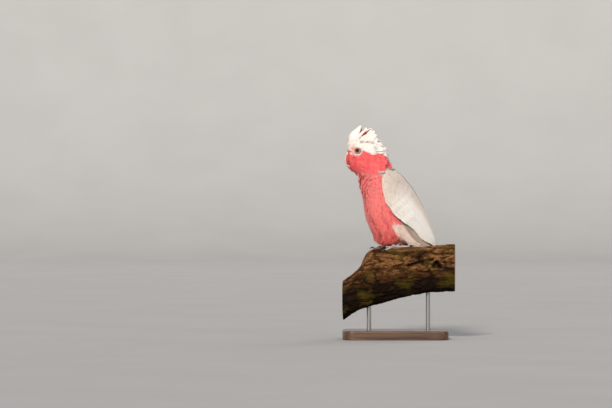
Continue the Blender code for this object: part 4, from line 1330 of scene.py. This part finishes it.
class GALAH_OT_wings(bpy.types.Operator):
    """Fold the wings: coverts in rows, then secondaries and tertials, over the primaries"""

    bl_idname = "galah.wings"
    bl_label = "Wings"

    def execute(self, context):
        for word, side in SIDES:
            self.primaries(word, side)
            self.secondaries(word, side)
            self.coverts(word, side)
        return {"FINISHED"}

    def primaries(self, word, side):
        coat, rng = Coat(), np.random.default_rng(41)
        for k in range(9):
            share = k / 8  # 0 is the outermost, lowest feather
            t, f, rise = np.linspace(
                (0.07, 0.10 + 0.50 * share, 0.0),
                (1.0 - 0.62 * share ** 1.5, 0.22 + 0.62 * share, 0.35), LONG_STEPS).T
            path, normal = on_wing(PRIMARY_EDGES, t, f, side, 0.3 + 0.16 * k + rise)
            tint = mixed(tone("flight"), (0.68, 0.53, 0.43), 0.50 + 0.25 * share)
            coat.lay_long(path, normal, 13.5 + 2 * share, tint * rng.uniform(0.92, 1.06),
                          side * -0.5, 0.35)
        coat.made(f"primary_feathers_{word}", "flight", "flight_feathers", f"primaries_{word}")

    def secondaries(self, word, side):
        coat, rng = Coat(), np.random.default_rng(42)
        # long feathers along the wing's edges: across, out, width, shade, and how far along; the
        # two dark ones, under the front edge and along the back between the wings, are painted
        # shadow
        for lane, out, width, shade, span in (
            (0.0, -2.8, 6.0, 0.45, (0.50, 0.68)), (0.85, 0.5, 8.0, 0.95, (0.06, 1.0)),
            (0.925, 1.1, 5.6, 0.24, (0.05, 1.0)), (1.0, 2.4, 3.6, 1.3, (0.10, 1.0)),
        ):
            path, normal = over_wing(np.linspace(*span, LONG_STEPS), np.full(LONG_STEPS, lane),
                                     side, out)
            coat.lay_long(path, normal, width, tone("wing") * shade, 0.0, 0.3)
        for k in range(13):
            share = k / 12
            t, f = np.linspace((0.39, 0.06 + 0.64 * share),
                               (0.80 + 0.20 * share ** 0.8, 0.13 + 0.60 * share), LONG_STEPS).T
            path, normal = over_wing(t, f, side, 0.10 * k - 0.2 - 2.0 * ease(0.50, 0.39, t))
            beyond = path[-1:] + unit(path[-1:] - path[-3:-2]) * 9 * share * MM
            # the lower feathers paler: partly their own paler tone, partly painted light where the
            # lower wing faces the light
            tint = mixed((0.69, 0.55, 0.46), tone("wing_pale_and_lit"),
                         0.15 + 0.85 * ease(0.95, 0.35, share))
            coat.lay_long(np.concatenate([path, beyond]), np.concatenate([normal, normal[-1:]]),
                          15.5, tint * rng.uniform(0.97, 1.03), side * -0.7, 0.5)
        coat.made(f"secondary_feathers_{word}", "flight", "wing_plumage", f"wing_{word}")

    def coverts(self, word, side):
        coat, rng = Coat(), np.random.default_rng(43)
        # rows of coverts: how far along, length, width, gap, and how far they stand out
        rows = [(0.44, 34, 13.5, 8.0, 0.3), (0.385, 30, 12.5, 7.5, 0.3),
                (0.335, 25, 11.0, 6.2, 0.35)]
        start = COVERT_ROOT
        while start > 0.0:
            rows.append((start, 10.5 + 20 * start, 6.2 + 5 * start, 3.7 + 2 * start,
                         0.95 - 1.6 * start))
            start -= ROW_GAP + 0.03 * start
        for start, length, width, gap, raised in rows:
            low, middle, high = wing_point(WING_EDGES, start, (0.0, 0.5, 1.0))
            span = np.linalg.norm(middle - low) + np.linalg.norm(high - middle)
            n = max(5, int(span / gap))
            f = (np.arange(n) + rng.uniform(0.3, 0.7)) / n
            f = np.clip(f + rng.normal(0, 0.008, n), 0.0, 1.0)
            if start > 0.08:
                f = f[(f < 0.82) & (f > (0.15 if side < 0 and start < 0.32 else -1))]
                n = len(f)
            t = np.clip(start + 0.02 * np.sin(f * 3) + rng.normal(0, 0.004, n), 0.0, 1)
            raised = raised + (0.8 - 1.2 * start) * ease(0.2, 0.7, f)
            far, fall = np.clip(t + length / WING_LENGTH, 0, 1), 0.02 * (f - 0.5)
            root, facing = over_wing(t, f, side, -0.6)
            middle, _ = over_wing((t + far) / 2, f, side, raised, fall / 2)
            tip, tip_facing = over_wing(far, f, side, 0.55 * raised, fall)
            # paler along the wing and low across it: partly the feathers' own tone, partly painted
            # light where the lower wing faces the light
            light = ease(0.20, 0.46, t) * ease(0.85, 0.35, f)
            tint = mixed(tone("wing"), tone("wing_pale_and_lit"), light) * rng.uniform(0.95, 1.04, (n, 1))
            coat.lay("covert", root, 2 * middle - 0.5 * (root + tip), tip, facing, tip_facing,
                     width * rng.uniform(0.95, 1.1, n), tint, root, 0.18, side * -0.05)
        # small feathers round the left wing's front edge
        n = 150
        for lane, seed in ((0.02, 1), (0.07, 2)) if side > 0 else ():
            rng = np.random.default_rng(seed)
            t = np.clip(np.linspace(0.0, 0.42, n) + rng.normal(0, 0.004, n), 0, 1)
            f = lane + rng.normal(0, 0.012, n).clip(-0.015, 0.03)
            root, facing = over_wing(t, f, side, -0.4)
            tip, tip_facing = over_wing(np.clip(t + 0.042, 0, 1), f, side, 0.7, 0.015)
            tint = tone("wing") * rng.uniform(0.92, 1.05, (n, 1))
            coat.lay("small", root, 0.5 * (root + tip) + facing * 0.8 * MM, tip, facing,
                     tip_facing, 5.2, tint, root)
        coat.made(f"wing_coverts_{word}", "covert", "wing_plumage")


class GALAH_OT_tail(bpy.types.Operator):
    """Lay twelve tail feathers, and the coverts over and under their roots"""

    bl_idname = "galah.tail"
    bl_label = "Tail"

    def execute(self, context):
        c, s = math.cos(TAIL_SLOPE), math.sin(TAIL_SLOPE)
        back, up, beside = np.array([[-c, 0, -s], [-s, 0, c], [0, 1, 0]])
        coat, rng = Coat(), np.random.default_rng(51)
        s = np.linspace(0.0, 1.0, LONG_STEPS)[:, None]
        for k, (_, side) in itertools.product(range(6), SIDES):
            lane = (5.5 - k) / 6.0 * 0.86
            reach = (TAIL_LENGTH - 1.5) * s * (1 - 0.075 * lane ** 2 * s)
            arch = 3.2 * (1 - lane ** 2) - 2.6 + 0.22 * k
            path = (TAIL_ROOT + back * reach + up * arch
                    + beside * side * (11 + 14 * s ** 0.8) * lane)
            normal = np.tile(aimed(up + beside * side * 0.12 * lane), (LONG_STEPS, 1))
            tint = mixed(tone("tail"), tone("flight"), 0.4) * rng.uniform(0.92, 1.08)
            coat.lay_long(to_world(path), normal, 15, tint, side * 0.35, 0.4)
        coat.made("tail_feathers", "flight", "flight_feathers", "tail")

        coat = Coat()
        for over, shade, n, plump in ((1, "wing", 46, 2.2), (-1, "vent", 150, 9.0)):
            rng = np.random.default_rng(52 + over)
            lane, start = rng.uniform(-1, 1, (n, 1)), rng.uniform(-4, 40, (n, 1))
            base = (TAIL_ROOT + back * start + up * over * (2.6 + plump * (1 - lane ** 2) ** 0.7)
                    + beside * lane * (13 + 0.12 * start))
            ahead = (back + beside * 0.1 * lane) * 36 * rng.uniform(0.85, 1.1, (n, 1))
            normal = aimed(unit(up * over + beside * 0.5 * lane))
            base, tip = to_world(base), to_world(base + ahead - up * over * 1.6)
            tint = tone(shade) * rng.uniform(0.93, 1.05, (n, 1))
            coat.lay("round", base - normal * 1.5 * MM, 0.5 * (base + tip) + normal * 0.8 * MM,
                     tip, normal, normal, 12, tint, base)
        coat.made("tail_coverts", "body", "vent_plumage")
        return {"FINISHED"}


# ---------------------------------------------------------------- eyes, bill and feet


def set_in_place(bm, side, name):
    """The smooth mesh of a piece of an eye, built about the origin and looking up."""
    out = aimed(turned_with_head(unit(np.array([[0.20, side * 0.975, 0.05]]))))[0]
    ahead = unit(np.cross(out, (0, 0, 1)))
    turn = Matrix((ahead, unit(np.cross(ahead, out)), out)).transposed().to_4x4()
    centre = Matrix.Translation(to_world(turned(EYE_AT * [1, side, 1]))[0])
    bmesh.ops.transform(bm, matrix=centre @ turn, verts=bm.verts)
    bmesh.ops.recalc_face_normals(bm, faces=bm.faces)
    return mesh_of(bm, name, True)


class GALAH_OT_eyes(bpy.types.Operator):
    """Set the eyes, each in a ring of bare wrinkled skin with lids"""

    bl_idname = "galah.eyes"
    bl_label = "Eyes"

    def execute(self, context):
        for word, side in SIDES:
            bm = bmesh.new()
            bmesh.ops.create_uvsphere(bm, u_segments=40, v_segments=24, radius=EYE_RADIUS * MM)
            ring = []
            for v in bm.verts:
                angle = math.acos(max(-1, min(1, v.co.z / (EYE_RADIUS * MM))))
                ring.append(angle / (math.pi / 2))
                v.co.z *= 1 + 0.05 * max(0, 1 - angle / 0.5)
            mesh = set_in_place(bm, side, "eyeball_" + word)
            set_values(mesh, "ring", ring)
            finished(link("eyeball_" + word, mesh, PAINT["eye"]), "dark_eye", "eye_" + word)
            mesh = set_in_place(self.lids(), side, "eye_ring_" + word)
            finished(link("eye_ring_" + word, mesh, PAINT["eye_skin"]), "leg_skin")
        return {"FINISHED"}

    def lids(self):
        """Lid and bare skin: a profile of radii and heights spun about the eye's axis."""
        bm = bmesh.new()
        profile = ((3.7, 5.5), (3.85, 6.3), (4.25, 6.85), (4.8, 6.95), (5.3, 6.8), (5.8, 6.55),
                   (6.3, 6.1), (6.9, 5.2), (7.5, 4.3), (8.0, 2.8))
        verts = [bm.verts.new((r * MM, 0, h * MM)) for r, h in profile]
        edges = [bm.edges.new(pair) for pair in zip(verts, verts[1:])]
        bmesh.ops.spin(bm, geom=verts + edges, cent=(0, 0, 0), axis=(0, 0, 1), angle=2 * math.pi,
                       steps=56, use_merge=True, dvec=(0, 0, 0))
        bmesh.ops.subdivide_edges(bm, edges=bm.edges, cuts=1, use_grid_fill=True)
        for v in bm.verts:
            r = math.hypot(v.co.x, v.co.y) / MM
            around = math.atan2(v.co.y, v.co.x)
            fold = 0.22 * math.sin(around * 26 + 3 * math.sin(around * 3)) * max(0, (r - 4.6) / 4)
            crease = (0.25 * math.sin(r * 4.2 + 0.6 * math.sin(around * 5))
                      * min(1, max(0, r - 4.4)))
            v.co.z += (fold + crease) * MM
            wider = 0.09 * math.cos(around + math.radians(50)) * min(1, max(0, (r - 3.9) / 1.5))
            v.co.x, v.co.y = v.co.x * (1.03 + wider), v.co.y * (1.03 + wider) * 0.9
        return bm


class GALAH_OT_bill(bpy.types.Operator):
    """Finish both halves of the bill in smooth horn"""

    bl_idname = "galah.bill"
    bl_label = "Bill"

    def execute(self, context):
        for node in ("bill_upper", "bill_lower"):
            piece = recast(node + "_horn", (node,), 0.4, 6, PAINT["horn"])
            push_out(piece.data, 0.2)
            finished(piece, "bill_horn", node)
        return {"FINISHED"}


class GALAH_OT_feet(bpy.types.Operator):
    """Finish the legs and toes with plates of scaly skin, and the claws"""

    bl_idname = "galah.feet"
    bl_label = "Legs, Toes and Claws"

    def execute(self, context):
        for word, _ in SIDES:
            leg, claws = "leg_" + word, [f"claw_{word}_{toe}" for toe in CLAWS]
            finished(recast("foot_" + word, (leg,), 0.45, 3, PAINT["leg"]), "leg_skin", leg)
            finished(recast("claws_" + word, claws, 0.3, 2, PAINT["claw"]), "claw_horn", *claws)
        return {"FINISHED"}


# ---------------------------------------------------------------- perch and stand


def bark_material():
    """Old bark: black in the cracks, partly painted shade, brown on the plates, paler on the
    ridges; near black in the knot hole and the split and darker underneath, painted shade.
    """
    p = Tree("old_bark")
    grain = p.cloud(330.0, 6.0, p.place(0.35, 1.0, 1.0), Roughness=0.7)
    # the underside's painted shade lowers the height, and with it the colour
    height = p.attribute("height") * 0.60 + grain * 0.62 - p.attribute("underside_shade") * 0.42
    bark = p.ramp(height, (0.30, (0.006, 0.003, 0.0015)), (1.0, (0.32, 0.148, 0.055)),
                  (0.52, (0.017, 0.0075, 0.0025)), (0.74, (0.070, 0.028, 0.0085)))
    moss = p.ranged(p.cloud(30.0, 5.0), 0.52, 0.66) * (grain * 1.2)
    return p.shade(p.blend(moss, bark, (0.085, 0.058, 0.006)), 0.92, grain, 0.8, 0.0012,
                   Specular_IOR_Level=0.1)


def sawn_material():
    """A sawn end: year rings round the pith, by the piece's own attribute."""
    p = Tree("sawn_wood")
    wave = (p.attribute("ring") * 1.05 + p.cloud(40.0, 2.0) * 7.0).maths("SINE") * 0.5
    saw = p.cloud(500.0, 3.0)
    wood = p.ramp(wave * 0.35 + saw * 0.9, (0.0, (0.20, 0.115, 0.055)), (1.0, (0.50, 0.36, 0.21)))
    return p.shade(wood, 0.8, saw, 0.3, 0.0004)


def bark_height(x, y, z):
    """Plates, cracks and chips of the bark at a place in metres."""
    warp = noise.noise(Vector((x * 30, y * 30, z * 30))) * 0.55
    plate = abs(noise.noise(Vector((x * 24 + warp, y * 80 + warp, z * 80))))
    crack = abs(noise.noise(Vector((x * 10 + 5, y * 34 + warp, z * 34))))
    chip = noise.fractal(Vector((x * 130, y * 240, z * 240)), 0.7, 2.0, 4)
    return min(1.0, plate * 4.2) * 0.34 + min(1.0, crack * 6.0) * 0.36 + 0.26 * chip + 0.20


class GALAH_OT_perch(bpy.types.Operator):
    """Roughen the cut branch into bark with ridges, cracks, a knot, moss and sawn ends"""

    bl_idname = "galah.perch"
    bl_label = "Branch"

    def execute(self, context):
        log = recast("bark_branch", ("perch_branch",), 1.15, 3, bark_material(), sawn_material())
        mesh = log.data
        points, normals = points_and_normals(mesh)
        x, _, z = points.T
        nx, ny, nz = normals.T
        low, high = x.min(), x.max()
        ends = np.minimum(x - low, high - x) / MM
        relief = np.array([bark_height(*p) for p in points.tolist()])
        places = points[:, [0, 2]] / MM
        split = np.minimum(*(off_line(places, *line) for line in zip(SPLIT, SPLIT[1:])))
        split = ease(3.2, 0.8, split + 0.6 * np.sin(places[:, 0] * 0.9)) * (ny < 0)
        place = (places - KNOT) / KNOT_SIZE
        away = lengths(place) + 0.16 * np.sin(3 * np.arctan2(place[:, 1], place[:, 0]))
        front = ease(-0.1, -0.5, ny)
        hole = ease(0.75, 0.35, away) * front
        rim = np.exp(-((away - 1.05) / 0.22) ** 2) * front
        perch = ease(PERCH_TOP - 15 * MM, PERCH_TOP - 4 * MM, z) * (np.abs(x) < 75 * MM)
        shift = (relief - 0.92) * (4.4 - 2.9 * perch) + 1.8 * rim - 9.0 * hole - 3.5 * split
        push_out(mesh, shift * (1 - ease(0.75, 0.95, np.abs(nx))) * ease(0, 3, ends))
        # the knot hole and the split are painted near black, as painted shade in them
        relief = np.clip(relief + 0.3 * rim, 0, 1) * (1 - 0.95 * hole) * (1 - 0.95 * split)
        # painted shade: darker on faces that turn down and towards the bottom of the branch
        underside_shade = ease(0.45, -0.75, nz) * 0.85 + ease(135 * MM, 85 * MM, z) * 0.5
        ring = np.zeros(len(points))
        for half in (x < (low + high) / 2, x >= (low + high) / 2):
            pith = points[half & (ends < 1.5)].mean(0) * [1, 0.9, 1.0]
            ring[half] = lengths((points[half] - pith)[:, 1:]) / MM
        for name, values in (("underside_shade", np.clip(underside_shade, 0, 1)), ("height", relief), ("ring", ring)):
            set_values(mesh, name, values)
        facing, centre = np.array([(p.normal[0], p.center[0]) for p in mesh.polygons]).T
        sawn = (np.abs(facing) > 0.9) & (np.minimum(centre - low, high - centre) < 9 * MM)
        mesh.polygons.foreach_set("material_index", sawn.astype(np.int32))
        finished(log, "old_bark", "perch_branch")
        return {"FINISHED"}


class GALAH_OT_stand(bpy.types.Operator):
    """Finish the wooden base and the steel rods"""

    bl_idname = "galah.stand"
    bl_label = "Display Stand"

    def execute(self, context):
        p = Tree("base_wood")
        grain = p.cloud(14.0, 8.0, p.place(0.6, 9.0, 9.0), Distortion=0.6)
        wood = p.ramp(grain, (0.36, (0.045, 0.021, 0.011)), (0.66, (0.16, 0.080, 0.040)))
        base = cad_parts["stand_base"].data.materials
        base.clear()
        base.append(p.shade(wood, 0.38, grain, 0.15, 0.0004, Coat_Weight=0.3))

        p = Tree("rod_steel")
        brushed = p.ranged(p.cloud(120.0, 2.0, p.place(1.0, 1.0, 40.0)), 0.0, 1.0, 0.22, 0.42)
        steel = p.shade((0.56, 0.55, 0.53), brushed, Metallic=1.0)
        for node in ("stand_rod_left", "stand_rod_right"):
            low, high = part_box(node)
            radius = (high.x - low.x) / 2
            bm = bmesh.new()
            bmesh.ops.create_cone(bm, cap_ends=True, segments=64, radius1=radius, radius2=radius,
                                  depth=high.z - low.z,
                                  matrix=Matrix.Translation((low + high) / 2))
            mesh = mesh_of(bm, node + "_bar", True)
            mesh.set_sharp_from_angle(angle=math.radians(40))
            finished(link(node + "_bar", mesh, steel), "rod_steel", node)
        return {"FINISHED"}


# ---------------------------------------------------------------- studio


class GALAH_OT_studio(bpy.types.Operator):
    """Lay the plain pale floor, and set the lights and the camera"""

    bl_idname = "galah.studio"
    bl_label = "Stage, Lights and Camera"

    def execute(self, context):
        scene = context.scene
        pale = mottled("pale_floor", (0.44, 0.435, 0.43), (0.46, 0.455, 0.45), 3, 0.9, 0.0)
        link("floor", self.floor(), pale)
        # where each light comes from, its strength, its spread and its colour
        for name, direction, strength, spread, tint in (
            ("key_light", (-0.22, -0.92, 0.50), 2.78, 0.2, (1.0, 0.945, 0.87)),
            ("fill_light", (0.8, -0.8, 0.30), 0.45, 0.8, (1.0, 0.97, 0.95)),
            ("back_light", (0.5, 0.8, 0.7), 0.5, 0.4, (1.0, 0.97, 0.92)),
        ):
            data = bpy.data.lights.new(name, "SUN")
            data.energy, data.angle, data.color = strength, spread, tint
            turn = Vector(direction).to_track_quat("Z", "Y").to_euler()
            link(name, data).rotation_euler = turn
        scene.world = bpy.data.worlds.new("studio")
        scene.world.use_nodes = True
        sky = scene.world.node_tree.nodes["Background"].inputs
        sky[0].default_value, sky[1].default_value = (0.95, 0.96, 1.0, 1), 0.38
        scene.view_settings.view_transform = "Standard"

        s = sizes()
        data = bpy.data.cameras.new("camera")
        data.sensor_width = SENSOR_WIDTH
        data.lens = SENSOR_WIDTH * s.camera_distance / s.field_width
        scene.camera = link("camera", data)
        scene.camera.location = (
            VIEW_ASIDE, -s.camera_distance, PERCH_TOP + VIEW_ABOVE_PERCH)
        scene.camera.rotation_euler = (math.pi / 2, 0, 0)
        return {"FINISHED"}

    def floor(self):
        """A round floor whose rim sweeps up all round it."""
        bm = bmesh.new()
        bmesh.ops.create_circle(bm, cap_ends=True, segments=96, radius=FLOOR_RADIUS)
        rim = list(bm.edges)
        for k in range(1, 9):
            angle = math.radians(k * 11.25)
            grown = bmesh.ops.extrude_edge_only(bm, edges=rim)["geom"]
            rim = [g for g in grown if isinstance(g, bmesh.types.BMEdge)]
            wide = FLOOR_RADIUS + FLOOR_SWEEP * math.sin(angle)
            for v in (g for g in grown if isinstance(g, bmesh.types.BMVert)):
                grow = wide / math.hypot(v.co.x, v.co.y)
                v.co = v.co.x * grow, v.co.y * grow, FLOOR_SWEEP * (1 - math.cos(angle))
        bmesh.ops.recalc_face_normals(bm, faces=bm.faces)
        if bm.faces[:][0].normal.z < 0:
            bmesh.ops.reverse_faces(bm, faces=bm.faces)
        return mesh_of(bm, "floor", True)


# ---------------------------------------------------------------- the add-on


OPERATORS = (
    GALAH_OT_skin, GALAH_OT_head_feathers, GALAH_OT_body_feathers, GALAH_OT_crest, GALAH_OT_wings,
    GALAH_OT_tail, GALAH_OT_eyes, GALAH_OT_bill, GALAH_OT_feet, GALAH_OT_perch, GALAH_OT_stand,
    GALAH_OT_studio,
)


class GALAH_PT_panel(bpy.types.Panel):
    bl_idname = "GALAH_PT_panel"
    bl_label = "Galah"
    bl_space_type = "VIEW_3D"
    bl_region_type = "UI"
    bl_category = "Galah"

    def draw(self, context):
        for group in (context.scene.galah_sizes, context.scene.galah_colours):
            for name in group.__annotations__:
                self.layout.prop(group, name)
        for operator in OPERATORS:
            self.layout.operator(operator.bl_idname)


CLASSES = (GALAH_PG_sizes, GALAH_PG_colours, *OPERATORS, GALAH_PT_panel)


def register():
    for cls in CLASSES:
        bpy.utils.register_class(cls)
    bpy.types.Scene.galah_sizes = bpy.props.PointerProperty(type=GALAH_PG_sizes)
    bpy.types.Scene.galah_colours = bpy.props.PointerProperty(type=GALAH_PG_colours)


def unregister():
    del bpy.types.Scene.galah_sizes
    del bpy.types.Scene.galah_colours
    for cls in reversed(CLASSES):
        bpy.utils.unregister_class(cls)


def main():
    register()
    for operator in OPERATORS:
        group, name = operator.bl_idname.split(".")
        getattr(getattr(bpy.ops, group), name)()
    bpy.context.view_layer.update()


if __name__ == "__main__":
    main()
